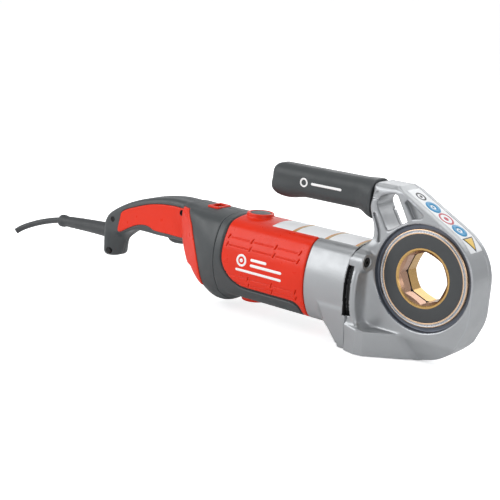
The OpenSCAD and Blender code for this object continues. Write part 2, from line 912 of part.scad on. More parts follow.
// Flexible sleeve that keeps the cord from kinking.
module cord_boot() color("dimgray")
    difference() {
        union() {
            translate([-572, 0, cord_z])
                rotate([0, 90, 0]) cylinder(h = 97, r1 = 6, r2 = 9.3);
            bar_x(-579, -572, 7.5, 0, cord_z);
            bar_x(-476, -470, 9, 0, cord_z);
        }
        bar_x(-581, -460, cord_r + 0.1, 0, cord_z);
    }

// The cord leaves the boot, droops and bends to one side.
function cord_point(t) = [-580 - 70 * t, -18 * t * t, cord_z - 30 * t * t];

module cord() color("dimgray") {
    bar_x(-580, -440, cord_r, 0, cord_z);
    steps = 6;
    for (i = [0 : steps - 1])
        hull() {
            translate(cord_point(i / steps)) sphere(cord_r, $fn = 16);
            translate(cord_point((i + 1) / steps)) sphere(cord_r, $fn = 16);
        }
}

// Lifts a piece so that the rest face is at Z = 0.
module placed()
    translate([0, 0, base_drop]) children();

placed() head_casting();
placed() head_cover();
placed() cover_screws();
placed() front_bush();
placed() rear_bush();
placed() front_plate();
placed() rear_plate();
placed() front_rim();
placed() rear_rim();
placed() drive_ring();
placed() socket_snap_ring();
placed() cross_shaft();
placed() spur_pinion();
placed() bevel_gear();
placed() cross_bearings();
placed() bevel_pinion_shaft();
placed() bevel_shaft_gear();
placed() bevel_shaft_bearings();
placed() layshaft();
placed() layshaft_gear();
placed() layshaft_bearings();
placed() gear_case();
placed() case_screws();
placed() bearing_bridge();
placed() motor_plate();
placed() armature_shaft();
placed() armature_core();
placed() armature_coils();
placed() commutator();
placed() fan();
placed() armature_bearings();
placed() stator_core();
placed() field_coils();
placed() brush_holders();
placed() brushes();
placed() brush_springs();
placed() brush_cap_top();
placed() brush_cap_bottom();
placed() motor_housing();
placed() lower_sled();
placed() grip_sleeve();
placed() grip_bolt();
placed() handle_left_shell();
placed() handle_right_shell();
placed() handle_screws();
placed() left_inlay();
placed() right_inlay();
placed() left_crescent();
placed() right_crescent();
placed() slide_bezel();
placed() reversing_slide();
placed() trigger();
placed() trigger_pin();
placed() trigger_spring();
placed() switch_body();
placed() capacitor();
placed() cord_clamp();
placed() cord_boot();
placed() cord();
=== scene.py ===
"""Looks of a hand-held pipe threading machine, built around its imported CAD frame.

Lengths are in millimetres until a mesh is made: x runs along the barrel towards the nose, y across it, and
z up from the socket's axis. The photographed side is at -y. A shape is a function of x, y, z that is negative
inside and positive outside, so that pieces can be joined, cut and rounded before they become meshes.
"""

import json
import math
import bpy
import numpy as np
from mathutils import Matrix, Vector


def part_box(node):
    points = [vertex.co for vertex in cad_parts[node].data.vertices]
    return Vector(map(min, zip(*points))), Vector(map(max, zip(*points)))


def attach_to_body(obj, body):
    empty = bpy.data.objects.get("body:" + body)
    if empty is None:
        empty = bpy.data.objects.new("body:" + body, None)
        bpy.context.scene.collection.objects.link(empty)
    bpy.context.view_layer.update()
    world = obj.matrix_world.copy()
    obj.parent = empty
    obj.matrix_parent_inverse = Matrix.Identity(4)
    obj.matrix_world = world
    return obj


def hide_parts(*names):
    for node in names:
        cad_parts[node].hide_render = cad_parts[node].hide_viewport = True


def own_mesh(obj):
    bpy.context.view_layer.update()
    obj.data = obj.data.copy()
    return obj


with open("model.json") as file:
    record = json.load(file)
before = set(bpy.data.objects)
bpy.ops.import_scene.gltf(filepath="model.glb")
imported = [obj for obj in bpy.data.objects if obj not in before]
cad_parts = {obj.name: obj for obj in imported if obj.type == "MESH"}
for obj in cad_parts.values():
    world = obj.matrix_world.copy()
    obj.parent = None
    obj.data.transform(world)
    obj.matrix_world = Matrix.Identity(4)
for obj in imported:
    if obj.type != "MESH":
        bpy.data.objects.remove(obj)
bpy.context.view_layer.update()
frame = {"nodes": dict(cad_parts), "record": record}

# ---------- Dimensions that come from the frame ----------

AXIS_HEIGHT = 500 * sum(corner.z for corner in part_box("drive_ring"))


def box_mm(node):
    """Lowest and highest corner of a CAD node, with z measured from the socket's axis."""
    low, high = (np.array(corner) * 1000 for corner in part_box(node))
    shift = np.array([0, 0, AXIS_HEIGHT])
    return low - shift, high - shift


def middle(node):
    """Centre of a CAD node's box."""
    low, high = box_mm(node)
    return (low + high) / 2


FLOOR = -AXIS_HEIGHT
NOSE_R = box_mm("head_casting")[1][0]
HEAD_TOP = box_mm("head_casting")[1][2]
HALF_T = box_mm("head_cover")[1][1]
FACE_Y = box_mm("drive_ring")[1][1]
PLATE_Y = box_mm("front_plate")[1][1] * -1
COVER_Y = box_mm("head_cover")[0][1]
FLANGE_X = box_mm("gear_case")[1][0]
CASE_X = box_mm("gear_case")[0][0]
MOTOR_X = box_mm("motor_housing")[0][0]
COLLAR_X = box_mm("lower_sled")[0][0]
BARREL_Z = middle("armature_shaft")[2]
HALF_W = box_mm("gear_case")[1][1]
HALF_H = box_mm("gear_case")[1][2] - BARREL_Z
CAP_X = middle("brush_cap_top")[0]
GRIP_END = box_mm("grip_sleeve")[0][0]
GRIP_Z = middle("grip_bolt")[2]
SLIDE_X = middle("reversing_slide")[0]
CORD_Z = middle("cord_clamp")[2]
FOOT_X = box_mm("handle_left_shell")[0][0]
HANDLE_Y = box_mm("left_inlay")[0][1] * -1

# Screws: places across and up for those along the barrel, places along and up for the cover's.
SCREW_X = FLANGE_X + 12
SCREWS = [(s * 34, BARREL_Z + 34) for s in (-1, 1)]
FOOT_SCREWS = [(s * 26, FLOOR + 14) for s in (-1, 1)]
COVER_SCREWS = [(-22, 63), (38, -54), (-54, -60), (-12, -61), (-59, 15)]
SCREW_HOLE_R = 2.6
COVER_HOLE_R = 3.7

GRID = 1.0
FAR = 400
SLOTS = {part["node"]: part["material_slot"] for part in frame["record"]["subparts"]}


# ---------- Shapes ----------

def join(a, b, fillet=0.01):
    """Both shapes, with a fillet between them."""
    near = np.maximum(fillet - np.abs(a - b), 0) / fillet
    return np.minimum(a, b) - near * near * fillet / 4


def meet(a, b, edge=0.01):
    """What two shapes share, with its edge rounded."""
    return -join(-a, -b, edge)


def cut(a, b, edge=0.01):
    """Shape a without shape b."""
    return meet(a, -b, edge)


def between(t, low, high):
    return np.abs(t - (low + high) / 2) - (high - low) / 2


def rod(u, v, cu, cv, radius):
    return np.hypot(u - cu, v - cv) - radius


def rounded_box(u, v, half_u, half_v, radius):
    a, b = np.abs(u) - half_u + radius, np.abs(v) - half_v + radius
    return np.minimum(np.maximum(a, b), 0) + np.hypot(np.maximum(a, 0), np.maximum(b, 0)) - radius


def ellipsoid(x, y, z, centre, radii):
    q = np.sqrt(sum(((t - c) / r) ** 2 for t, c, r in zip((x, y, z), centre, radii)))
    return (q - 1) * min(radii)


def step_up(t, low, high):
    """0 below low, 1 above high, smooth between."""
    s = np.clip((t - low) / (high - low), 0, 1)
    return s * s * (3 - 2 * s)


def disc(cx, cz, radius, count=72):
    turn = 2 * math.pi / count
    return [(cx + radius * math.cos(i * turn), cz + radius * math.sin(i * turn)) for i in range(count)]


def hull(points):
    """Corners of the convex outline around the points, anticlockwise."""
    points = sorted(set((round(u, 4), round(v, 4)) for u, v in points))

    def half(ordered):
        chain = []
        for p in ordered:
            while len(chain) > 1:
                (ax, ay), (bx, by) = chain[-2], chain[-1]
                if (bx - ax) * (p[1] - ay) - (by - ay) * (p[0] - ax) > 0:
                    break
                chain.pop()
            chain.append(p)
        return chain[:-1]

    return half(points) + half(points[::-1])


def convex(points):
    """Flat shape: the convex outline around the points."""
    corners = np.array(hull(points))
    sides = np.roll(corners, -1, 0) - corners
    normals = np.stack([sides[:, 1], -sides[:, 0]], 1) / np.hypot(sides[:, 0], sides[:, 1])[:, None]

    def shape(u, v):
        distance = None
        for (nu, nv), (cu, cv) in zip(normals, corners):
            side = nu * (u - cu) + nv * (v - cv)
            distance = side if distance is None else np.maximum(distance, side)
        return distance

    return shape


def path_distance(u, v, path):
    """Distance from a line of straight spans."""
    nearest = FAR
    for (au, av), (bu, bv) in zip(path, path[1:]):
        eu, ev = bu - au, bv - av
        along = np.clip(((u - au) * eu + (v - av) * ev) / (eu * eu + ev * ev), 0, 1)
        nearest = np.minimum(nearest, np.hypot(u - au - eu * along, v - av - ev * along))
    return nearest


def outline(corners):
    """Flat shape: any closed outline."""
    ring = [tuple(c) for c in corners]
    ring.append(ring[0])

    def shape(u, v):
        inside = False
        for (au, av), (bu, bv) in zip(ring, ring[1:]):
            if av != bv:
                inside = inside ^ (((av > v) != (bv > v)) & (u < (bu - au) * (v - av) / (bv - av) + au))
        return np.where(inside, -1, 1) * path_distance(u, v, ring)

    return shape


def spline(points, per_span=4, closed=True):
    """Points on a smooth curve through the given ones."""
    points = [np.array(p, float) for p in points]
    count = len(points)
    curve = []
    for i in range(count if closed else count - 1):
        if closed:
            a, b, c, d = (points[(i + k) % count] for k in (-1, 0, 1, 2))
        else:
            a, b, c, d = (points[min(max(i + k, 0), count - 1)] for k in (-1, 0, 1, 2))
        for step in range(per_span):
            t = step / per_span
            curve.append(0.5 * (2 * b + (c - a) * t + (2 * a - 5 * b + 4 * c - d) * t ** 2
                                + (3 * b - a - 3 * c + d) * t ** 3))
    if not closed:
        curve.append(points[-1])
    return curve


# ---------- Meshes ----------

def surface_net(shape, low, high, step):
    """Points and four-sided faces of a shape inside a box, pulled onto its exact surface."""
    counts = [int(math.ceil((b - a) / step)) + 1 for a, b in zip(low, high)]
    axes = [(a + step * np.arange(n)).astype(np.float32) for a, n in zip(low, counts)]
    grid = axes[0][:, None, None], axes[1][None, :, None], axes[2][None, None, :]
    value = np.broadcast_to(shape(*grid), counts).astype(np.float32)
    inside = value < 0
    corners = [(i, j, k) for i in (0, 1) for j in (0, 1) for k in (0, 1)]
    cells = [n - 1 for n in counts]
    total = np.zeros(cells, np.int8)
    for i, j, k in corners:
        total += inside[i:i + cells[0], j:j + cells[1], k:k + cells[2]]
    mixed = (total > 0) & (total < 8)
    where = np.argwhere(mixed)
    number = np.full(cells, -1, np.int32)
    number[mixed] = np.arange(len(where))
    corner_value = {c: value[tuple((where + c).T)] for c in corners}
    place = np.zeros((len(where), 3))
    crossings = np.zeros(len(where))
    for a in corners:
        for axis in range(3):
            if a[axis] == 1:
                continue
            b = tuple(a[t] + (t == axis) for t in range(3))
            va, vb = corner_value[a], corner_value[b]
            crosses = (va < 0) != (vb < 0)
            share = va[crosses] / (va[crosses] - vb[crosses])
            spot = np.tile(np.array(a, float), (len(share), 1))
            spot[:, axis] += share
            place[crosses] += spot
            crossings[crosses] += 1
    points = np.array(low) + step * (where + place / crossings[:, None])
    faces = []
    for axis in range(3):
        u, v = (axis + 1) % 3, (axis + 2) % 3
        first = [slice(None)] * 3
        second = [slice(None)] * 3
        first[axis], second[axis] = slice(None, -1), slice(1, None)
        here = inside[tuple(first)]
        edges = np.argwhere(here != inside[tuple(second)])
        keep = (edges[:, u] > 0) & (edges[:, v] > 0)
        keep &= (edges[:, u] < counts[u] - 1) & (edges[:, v] < counts[v] - 1)
        edges = edges[keep]
        ring = []
        for du, dv in ((-1, -1), (0, -1), (0, 0), (-1, 0)):
            cell = edges.copy()
            cell[:, u] += du
            cell[:, v] += dv
            ring.append(number[tuple(cell.T)])
        quads = np.stack(ring, 1)
        outward = here[tuple(edges.T)]
        quads[~outward] = quads[~outward][:, ::-1]
        faces.append(quads)
    return settle(shape, points, step), np.concatenate(faces)


def settle(shape, points, step, rounds=4):
    """Moves points onto the surface along its slope."""
    probe = 0.03
    for _ in range(rounds):
        x, y, z = points.T
        value = shape(x, y, z)
        slope = np.stack([shape(x + probe, y, z) - shape(x - probe, y, z),
                          shape(x, y + probe, z) - shape(x, y - probe, z),
                          shape(x, y, z + probe) - shape(x, y, z - probe)], 1) / (2 * probe)
        move = value / np.maximum((slope ** 2).sum(1), 0.2)
        points = points - slope * np.clip(move, -0.4 * step, 0.4 * step)[:, None]
    return points


def new_mesh(name, points, faces, materials, chosen=None):
    """A smooth-shaded object from points in millimetres about the socket's axis."""
    mesh = bpy.data.meshes.new(name)
    metres = (np.array(points, float) + [0, 0, AXIS_HEIGHT]) / 1000
    if isinstance(faces, np.ndarray):
        size = faces.shape[1]
        mesh.vertices.add(len(metres))
        mesh.vertices.foreach_set("co", metres.ravel())
        mesh.loops.add(faces.size)
        mesh.loops.foreach_set("vertex_index", faces.ravel().astype(np.int32))
        mesh.polygons.add(len(faces))
        mesh.polygons.foreach_set("loop_start", np.arange(0, faces.size, size, dtype=np.int32))
        mesh.update(calc_edges=True)
    else:
        mesh.from_pydata([tuple(p) for p in metres], [], faces)
    for material in materials:
        mesh.materials.append(material)
    if chosen is not None:
        mesh.polygons.foreach_set("material_index", np.array(chosen, np.int32))
    mesh.polygons.foreach_set("use_smooth", np.full(len(mesh.polygons), True))
    mesh.update()
    piece = bpy.data.objects.new(name, mesh)
    bpy.context.scene.collection.objects.link(piece)
    return piece


def attach(piece, node=None, body="body"):
    """Puts a piece on its body, and hides the CAD node it stands for, if one is given."""
    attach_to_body(piece, body)
    if node:
        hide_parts(node)
    return piece


def sculpt(name, shape, low, high, materials, node=None, body="body", step=1.0, choose=None):
    """A piece from a shape between two corners. choose gives each face's material from its middle."""
    points, faces = surface_net(shape, low, high, GRID * step)
    chosen = None
    if choose is not None:
        centre = points[faces].mean(1)
        chosen = choose(*centre.T).astype(int)
    return attach(new_mesh(name, points, faces, materials, chosen), node, body)


def fillet(corners, radius, steps=4):
    """A closed profile with its corners rounded. radius may be one number or one for each corner."""
    radii = [radius] * len(corners) if np.isscalar(radius) else radius
    result = []
    for i, r in enumerate(radii):
        before, here, after = (np.array(corners[k % len(corners)], float) for k in (i - 1, i, i + 1))
        to_before, to_after = before - here, after - here
        reach = min(r, 0.45 * np.hypot(*to_before), 0.45 * np.hypot(*to_after))
        start = here + to_before / np.hypot(*to_before) * reach
        end = here + to_after / np.hypot(*to_after) * reach
        for k in range(steps + 1):
            t = k / steps
            result.append((1 - t) ** 2 * start + 2 * t * (1 - t) * here + t ** 2 * end)
    return result


def turned(name, profile, centre, axis, materials, turns=144):
    """A lathe piece: the closed profile's (radius, along) points turned about an axis through centre."""
    axis = "xyz".index(axis)
    u, v = (axis + 1) % 3, (axis + 2) % 3
    angle = 2 * math.pi * np.arange(turns) / turns
    profile = np.array(profile, float)
    points = np.zeros((turns, len(profile), 3))
    points[:, :, u] = np.cos(angle)[:, None] * profile[None, :, 0]
    points[:, :, v] = np.sin(angle)[:, None] * profile[None, :, 0]
    points[:, :, axis] = profile[None, :, 1]
    points = points.reshape(-1, 3) + np.array(centre)
    a = np.arange(turns)[:, None] * len(profile) + np.arange(len(profile))[None, :]
    b = np.roll(a, -1, 0)
    faces = np.stack([a, np.roll(a, -1, 1), np.roll(b, -1, 1), b], -1).reshape(-1, 4)
    return new_mesh(name, points, faces, materials)


def sheet(top, bottom, closed_u=False):
    """Points and faces of a thin closed plate between two grids of points."""
    count_u, count_v = top.shape[:2]
    index = np.arange(count_u * count_v).reshape(count_u, count_v)
    if closed_u:
        index = np.concatenate([index, index[:1]])
    under = index + count_u * count_v
    strips = [(index[:-1, :-1], index[1:, :-1], index[1:, 1:], index[:-1, 1:]),
              (under[:-1, 1:], under[1:, 1:], under[1:, :-1], under[:-1, :-1]),
              (index[:-1, 0], under[:-1, 0], under[1:, 0], index[1:, 0]),
              (index[1:, -1], under[1:, -1], under[:-1, -1], index[:-1, -1])]
    if not closed_u:
        strips += [(index[0, 1:], under[0, 1:], under[0, :-1], index[0, :-1]),
                   (index[-1, :-1], under[-1, :-1], under[-1, 1:], index[-1, 1:])]
    faces = [np.stack([corner.ravel() for corner in strip], 1) for strip in strips]
    return np.concatenate([top.reshape(-1, 3), bottom.reshape(-1, 3)]), np.concatenate(faces)


def wire(name, line, radius, turns, material):
    """A round wire along a line of points, with flat ends."""
    line = np.array(line, float)
    tangent = np.gradient(line, axis=0)
    tangent /= np.linalg.norm(tangent, axis=1)[:, None]
    side = np.cross(tangent, [0, 0, 1])
    side /= np.linalg.norm(side, axis=1)[:, None]
    up = np.cross(side, tangent)
    angle = 2 * math.pi * np.arange(turns) / turns
    ring = side[:, None] * np.cos(angle)[None, :, None] + up[:, None] * np.sin(angle)[None, :, None]
    points = (line[:, None] + radius * ring).reshape(-1, 3)
    index = np.arange(len(line) * turns).reshape(len(line), turns)
    a, b = index[:-1], index[1:]
    quads = np.stack([a, b, np.roll(b, -1, 1), np.roll(a, -1, 1)], -1).reshape(-1, 4)
    faces = [tuple(q) for q in quads.tolist()] + [tuple(index[0].tolist()[::-1]), tuple(index[-1].tolist())]
    return new_mesh(name, points, faces, [material])


# ---------- Materials ----------

class Nodes:
    """A node tree, with short ways to add what most finishes need."""

    def __init__(self, owner):
        owner.use_nodes = True
        self.tree = owner.node_tree
        self.where = self.add("TexCoord").outputs

    def fill(self, node, **inputs):
        """Gives a node's inputs plain values or other nodes' outputs."""
        for key, value in inputs.items():
            target = node.inputs[key.replace("_", " ")]
            if isinstance(value, bpy.types.NodeSocket):
                self.tree.links.new(value, target)
            else:
                target.default_value = value
        return node

    def add(self, kind, **inputs):
        return self.fill(self.tree.nodes.new("ShaderNode" + kind), **inputs)

    def noise(self, scale, detail=3.0, stretch=(1, 1, 1)):
        place = self.add("Mapping", Vector=self.where["Object"], Scale=stretch).outputs["Vector"]
        return self.add("TexNoise", Vector=place, Scale=scale, Detail=detail).outputs["Fac"]

    def spread(self, source, low, high, start=0.3, end=0.7):
        """Low where the source is at start, high where it is at end."""
        limits = {"From_Min": start, "From_Max": end, "To_Min": low, "To_Max": high}
        return self.add("MapRange", Value=source, **limits).outputs["Result"]

    def mix(self, factor, a, b):
        """A colour between a and b, each a plain colour or an output."""
        node = self.add("Mix")
        node.data_type = "RGBA"
        for value, target in ((factor, node.inputs[0]), (a, node.inputs[6]), (b, node.inputs[7])):
            if isinstance(value, tuple):
                target.default_value = (*value, 1)
            else:
                self.tree.links.new(value, target)
        return node.outputs[2]


def shade(colour, factor):
    return tuple(min(1.0, c * factor) for c in colour)


CLOUD_SCALE = 28
SMEAR_SCALE = 90
SMEAR = 0.06
RELIEF_DEPTH = 0.0002
WORN_FROM, WORN_TO = 0.52, 0.6


def finish(name, colour, rough, metal=0.0, mottle=0.05, grain=1500, bump=0.12, worn=None, stretch=(1, 1, 1),
           coat=0.0, gloss=0.5, tint=None):
    """A material with cloudy and fine colour variation, uneven roughness, a fine relief and worn edges.

    tint changes the colour before wear is added: it gets the node tree and the colour so far.
    """
    material = bpy.data.materials.new(name)
    n = Nodes(material)
    cloud = n.mix(n.spread(n.noise(CLOUD_SCALE), 0, 1), shade(colour, 1 - mottle), shade(colour, 1 + mottle))
    look = n.mix(n.spread(n.noise(grain, 2, stretch), 0, 0.5), cloud, shade(colour, 1 - 1.5 * mottle))
    if tint:
        look = tint(n, look)
    if worn:
        pointed = n.add("NewGeometry").outputs["Pointiness"]
        look = n.mix(n.spread(pointed, 0, 0.8, WORN_FROM, WORN_TO), look, worn)
    relief = n.add("Bump", Strength=bump, Distance=RELIEF_DEPTH, Height=n.noise(grain, 3, stretch))
    smear = n.spread(n.noise(SMEAR_SCALE, 4, stretch), rough - SMEAR, rough + SMEAR)
    n.fill(n.tree.nodes["Principled BSDF"], Base_Color=look, Roughness=smear, Metallic=metal,
           Specular_IOR_Level=gloss, Coat_Weight=coat, Coat_Roughness=0.2, Normal=relief.outputs["Normal"])
    return material


def socket_tint(n, look):
    """The bore is pink in front of the snap ring's groove, and the groove is dark. Sizes are in metres."""
    soft = 0.0002
    groove_front, groove_back, bore_r = -0.0035, -0.0010, 0.0288
    y = n.add("SeparateXYZ", Vector=n.where["Object"]).outputs["Y"]
    across = n.add("Mapping", Vector=n.where["Object"], Location=(0, 0, -AXIS_HEIGHT / 1000), Scale=(1, 0, 1))
    radius = n.add("VectorMath", Vector=across.outputs["Vector"])
    radius.operation = "LENGTH"
    dark = n.mix(n.spread(y, 1, 0, groove_back, groove_back + soft), look, (0.02, 0.015, 0.01))
    lined = n.mix(n.spread(y, 0, 1, groove_front, groove_front + soft), look, dark)
    in_bore = n.spread(radius.outputs["Value"], 1, 0, bore_r, bore_r + 3 * soft)
    bore = n.mix(in_bore, lined, (0.42, 0.25, 0.17))
    return n.mix(n.spread(y, 1, 0, groove_front, groove_front + soft), lined, bore)


ALUMINIUM = finish("cast aluminium", (0.37, 0.38, 0.39), 0.36, metal=0.65, mottle=0.04, grain=1100, bump=0.10,
                   worn=(0.5, 0.51, 0.53))
# Darker blue-grey aluminium for the groove around each rim: painted shade.
GROOVE_PAINTED_SHADE = finish("aluminium with painted groove shade", (0.12, 0.135, 0.165), 0.36, metal=0.6, grain=1100, bump=0.08)
DARK_PLATE = finish("dark plate", (0.055, 0.058, 0.06), 0.46, metal=0.3, mottle=0.06, bump=0.05,
                    worn=(0.2, 0.2, 0.2))
GOLD = finish("yellow zinc rim", (0.72, 0.50, 0.33), 0.24, metal=0.9, grain=700, bump=0.04,
              worn=(0.95, 0.78, 0.55))
SOCKET = finish("yellow zinc socket", (0.56, 0.35, 0.13), 0.24, metal=0.9, mottle=0.08, grain=600, bump=0.05,
                stretch=(1, 0.1, 1), tint=socket_tint)
RED = finish("red plastic", (0.70, 0.021, 0.001), 0.32, mottle=0.04, grain=1300, bump=0.08,
             worn=(0.76, 0.05, 0.01), coat=0.05, gloss=0.28)
CHARCOAL = finish("charcoal plastic", (0.044, 0.050, 0.052), 0.44, mottle=0.07, bump=0.2,
                  worn=(0.13, 0.14, 0.145))
RUBBER = finish("grip rubber", (0.036, 0.041, 0.043), 0.5, mottle=0.07, grain=1800, bump=0.3,
                worn=(0.10, 0.105, 0.11))
BLACK = finish("black gasket and painted recess shade", (0.008, 0.008, 0.009), 0.55, mottle=0.08, bump=0.1)
STEEL = finish("bright steel", (0.55, 0.56, 0.58), 0.28, metal=1, grain=500, bump=0.05, stretch=(1, 0.15, 1))
SCREW = finish("blackened steel", (0.006, 0.006, 0.007), 0.5, mottle=0.08, grain=900, bump=0.05,
               worn=(0.03, 0.03, 0.03), gloss=0.1)
BRONZE = finish("bronze", (0.45, 0.27, 0.12), 0.35, metal=1, mottle=0.08, grain=600, bump=0.05)
COPPER = finish("copper", (0.5, 0.2, 0.09), 0.35, metal=0.9, mottle=0.1, grain=900, bump=0.1)
CORD = finish("cord rubber", (0.035, 0.038, 0.04), 0.5, mottle=0.08, grain=1600, bump=0.15)
LABEL_WHITE = finish("label film", (0.80, 0.81, 0.82), 0.42, mottle=0.02, grain=900, bump=0.03)
LABEL_INK = {
    name: finish("label " + name, colour, 0.42, mottle=0.04, grain=900, bump=0.03)
    for name, colour in (("orange", (0.62, 0.27, 0.08)), ("tan", (0.42, 0.30, 0.12)),
                         ("blue", (0.02, 0.27, 0.52)), ("red", (0.55, 0.07, 0.10)),
                         ("yellow", (0.80, 0.52, 0.08)), ("black", (0.02, 0.02, 0.025)))}
PAINT = finish("white paint", (0.86, 0.85, 0.84), 0.4, mottle=0.02, grain=1200, bump=0.05)

SLOT_FINISH = {
    "cast_aluminium": ALUMINIUM, "black_screw_steel": SCREW, "bronze": BRONZE, "dark_plate": DARK_PLATE,
    "plated_rim": GOLD, "plated_socket": SOCKET, "spring_steel": SCREW, "gear_steel": STEEL,
    "bearing_steel": STEEL, "lamination": STEEL, "copper_wire": COPPER, "commutator_copper": COPPER,
    "brush_brass": BRONZE, "carbon": DARK_PLATE, "charcoal_plastic": CHARCOAL, "red_plastic": RED,
    "grip_rubber": RUBBER, "film_case": BRONZE, "clamp_plastic": CHARCOAL, "cord_rubber": CORD,
}


def dress_frame():
    """Every CAD node gets the finish of its slot in the record."""
    for name, node in frame["nodes"].items():
        node.data.materials.clear()
        node.data.materials.append(SLOT_FINISH[SLOTS[name]])
        edges = node.modifiers.new("edges", "BEVEL")
        edges.width = 0.0003
        edges.segments = 2
        edges.limit_method = "ANGLE"
        edges.angle_limit = math.radians(40)


# ---------- Barrel ----------

SIDE_R = 70
CROWN_R = 95
BARREL_EDGE = 4
SLOT_DEPTH = 5


def barrel(y, z):
    """Section of the barrel: two shallow side curves, and a crowned top and bottom."""
    side = np.hypot(np.abs(y) + SIDE_R - HALF_W, z - BARREL_Z) - SIDE_R
    crown = np.hypot(y, np.abs(z - BARREL_Z) + CROWN_R - HALF_H) - CROWN_R
    return meet(side, crown, BARREL_EDGE)


def seam_slot(x, y, z):
    """The open slot between the head's flange and the gear case: on each side and over the top."""
    side = np.maximum(between(z, BARREL_Z - 26, BARREL_Z + 29), between(x, FLANGE_X - 1, FLANGE_X + 6.5))
    top = np.maximum(12.5 - z, between(x, FLANGE_X - 0.6, FLANGE_X + 2.2))
    return np.maximum(np.minimum(side, top), -barrel(y, z) - SLOT_DEPTH)


# ---------- Head ----------

WEB_X = FLANGE_X + 5
SLOPE = math.radians(61)
RECESS_R = 57
BUSH_R = 38
CHAMBER_R = 51.5
CHAMBER_Y = -12.2
WHEEL_R = 26.5
CROSS_X, _, CROSS_Z = middle("cross_shaft")
BEARING_R = 8
LEDGE_Z = FLOOR + 27.5
LEDGE_TILT = math.radians(28.6)
BOSS_SEAT_R, WELL_R = 9.5, 5.6

# Side views of the head: the web above the barrel, the wide part below, and what is cut through or into them.
_slope_end = (NOSE_R - HEAD_TOP * math.sin(SLOPE)) / math.cos(SLOPE)
UPPER_OUTLINE = convex(disc(0, 0, NOSE_R) + disc(WEB_X + 6, HEAD_TOP - 6, 6)
                       + [(_slope_end, HEAD_TOP), (WEB_X, 18), (0, 0)])
_chin = [p for p in disc(-10, -17, 75) if p[0] > -10 and p[1] < -62]
LOWER_OUTLINE = convex(disc(0, 0, NOSE_R) + disc(10, -28, 49.5) + _chin
                       + [(FLANGE_X, FLOOR), (-14, FLOOR), (FLANGE_X, 12)])
WINDOW = outline(spline([(-62.5, 67), (-60.5, 74), (-55, 79), (-45, 82), (-39, 81.5), (-36.5, 78),
                         (-25, 58), (-25, 55.5), (-33, 50.5), (-43.5, 43.5), (-48.5, 44.5), (-56, 56)]))
POCKET = outline([(-29, 76), (-26, 79), (-5, 66), (-7, 62.5), (-18, 60)])
NARROW_SLOT = spline([(-64.5, 57), (-59.5, 47), (-56.5, 38), (-55.8, 30)], closed=False)

# Plan of the base.
FOOT_PLAN = convex([(along, s * across) for s in (-1, 1)
                    for along, across in ((FLANGE_X, 41), (-60, 45), (-50, 43), (2, 4))])


def head_flat(x, z):
    """Side view of the whole head, with the curved gap under the grip."""
    flat = np.minimum(UPPER_OUTLINE(x, z), LOWER_OUTLINE(x, z))
    return cut(flat, rod(x, z, WEB_X - 32, 36, 40), 6)


def head_solid(x, y, z):
    """The head without its cavities."""
    flat = head_flat(x, z)
    round_edge = 1.5 + 9 * step_up(z, 60, 84) * (1 - step_up(x, -45, -30))
    slab = meet(flat, np.abs(y) - HALF_T, round_edge)
    tuck = math.cos(LEDGE_TILT) * (np.abs(y) - HALF_T) - math.sin(LEDGE_TILT) * (z - LEDGE_Z)
    slab = meet(slab, tuck, 1.5)
    bell = meet(barrel(y, z), between(x, FLANGE_X + 0.3, FLANGE_X + 13), 5)
    foot = meet(meet(FOOT_PLAN(x, y), between(z, FLOOR, LEDGE_Z + 0.5), 2), flat, 2)
    body = join(slab, foot, 4)
    body = join(body, bell, 16)
    for across, up in SCREWS:
        boss = np.maximum(rod(y, z, across, up, BOSS_SEAT_R), between(x, FLANGE_X + 1, SCREW_X + 5))
        body = join(body, boss, 5)
    body = meet(body, FLOOR - z, 1.5)
    body = meet(body, FLANGE_X + 0.3 - x, 0.8)
    for across, up in SCREWS:
        body = cut(body, np.maximum(rod(y, z, across, up, WELL_R), SCREW_X - x), 0.8)
        body = cut(body, rod(y, z, across, up, SCREW_HOLE_R))
    for across, up in FOOT_SCREWS:
        body = cut(body, np.maximum(rod(y, z, across, up, SCREW_HOLE_R), x - FLANGE_X - 16))
    body = cut(body, seam_slot(x, y, z), 1.0)
    draft = 0.11 * (y + HALF_T)
    body = cut(body, WINDOW(x + draft, z), 3)
    pocket_depth = 6 - 0.28 * np.maximum(x + 0.5 * (z - 60) + 20, 0)
    body = cut(body, meet(POCKET(x, z), y + HALF_T - pocket_depth, 1), 1.5)
    groove = path_distance(x, z, NARROW_SLOT) - 1.8
    corner = np.maximum(rod(x, z, -60, 73.5, 9), np.maximum(x + 62, 73.5 - z))
    recess = np.hypot(x, z) - RECESS_R
    for s in (-1, 1):
        body = cut(body, np.maximum(groove, HALF_T - 4 - s * y), 1)
        body = cut(body, np.maximum(corner, HALF_T - 2.5 - s * y), 1)
    for s in (-1, 1):
        body = cut(body, np.maximum(recess, PLATE_Y - s * y), 2.6)
    return cut(body, np.hypot(x, z) - BUSH_R)


def gear_chamber(x, y, z):
    """Room inside the head for the ring gear, the cross shaft with its wheels, and the bevel pinion."""
    space = np.maximum(np.hypot(x, z) - CHAMBER_R, between(y, CHAMBER_Y, COVER_Y))
    pinion = np.maximum(rod(x, z, CROSS_X, CROSS_Z, 17), between(y, CHAMBER_Y, COVER_Y))
    wheel = np.maximum(rod(x, z, CROSS_X, CROSS_Z, WHEEL_R), between(y, 4, COVER_Y))
    neck = np.maximum(rod(y, z, 0, BARREL_Z, 11.5), x - CROSS_X)
    bearings = np.maximum(rod(x, z, CROSS_X, CROSS_Z, BEARING_R), np.abs(y) - PLATE_Y + 0.1)
    return np.minimum(np.minimum(np.minimum(space, pinion), np.minimum(wheel, neck)), bearings)


def cover_zone(x, y, z):
    """The part of the head that is its back cover."""
    return np.maximum(np.maximum(COVER_Y - y, FLANGE_X + 13 - x), -66 - z)


def head_casting(x, y, z):
    return cut(cut(head_solid(x, y, z), gear_chamber(x, y, z)), cover_zone(x, y, z), 0.8)


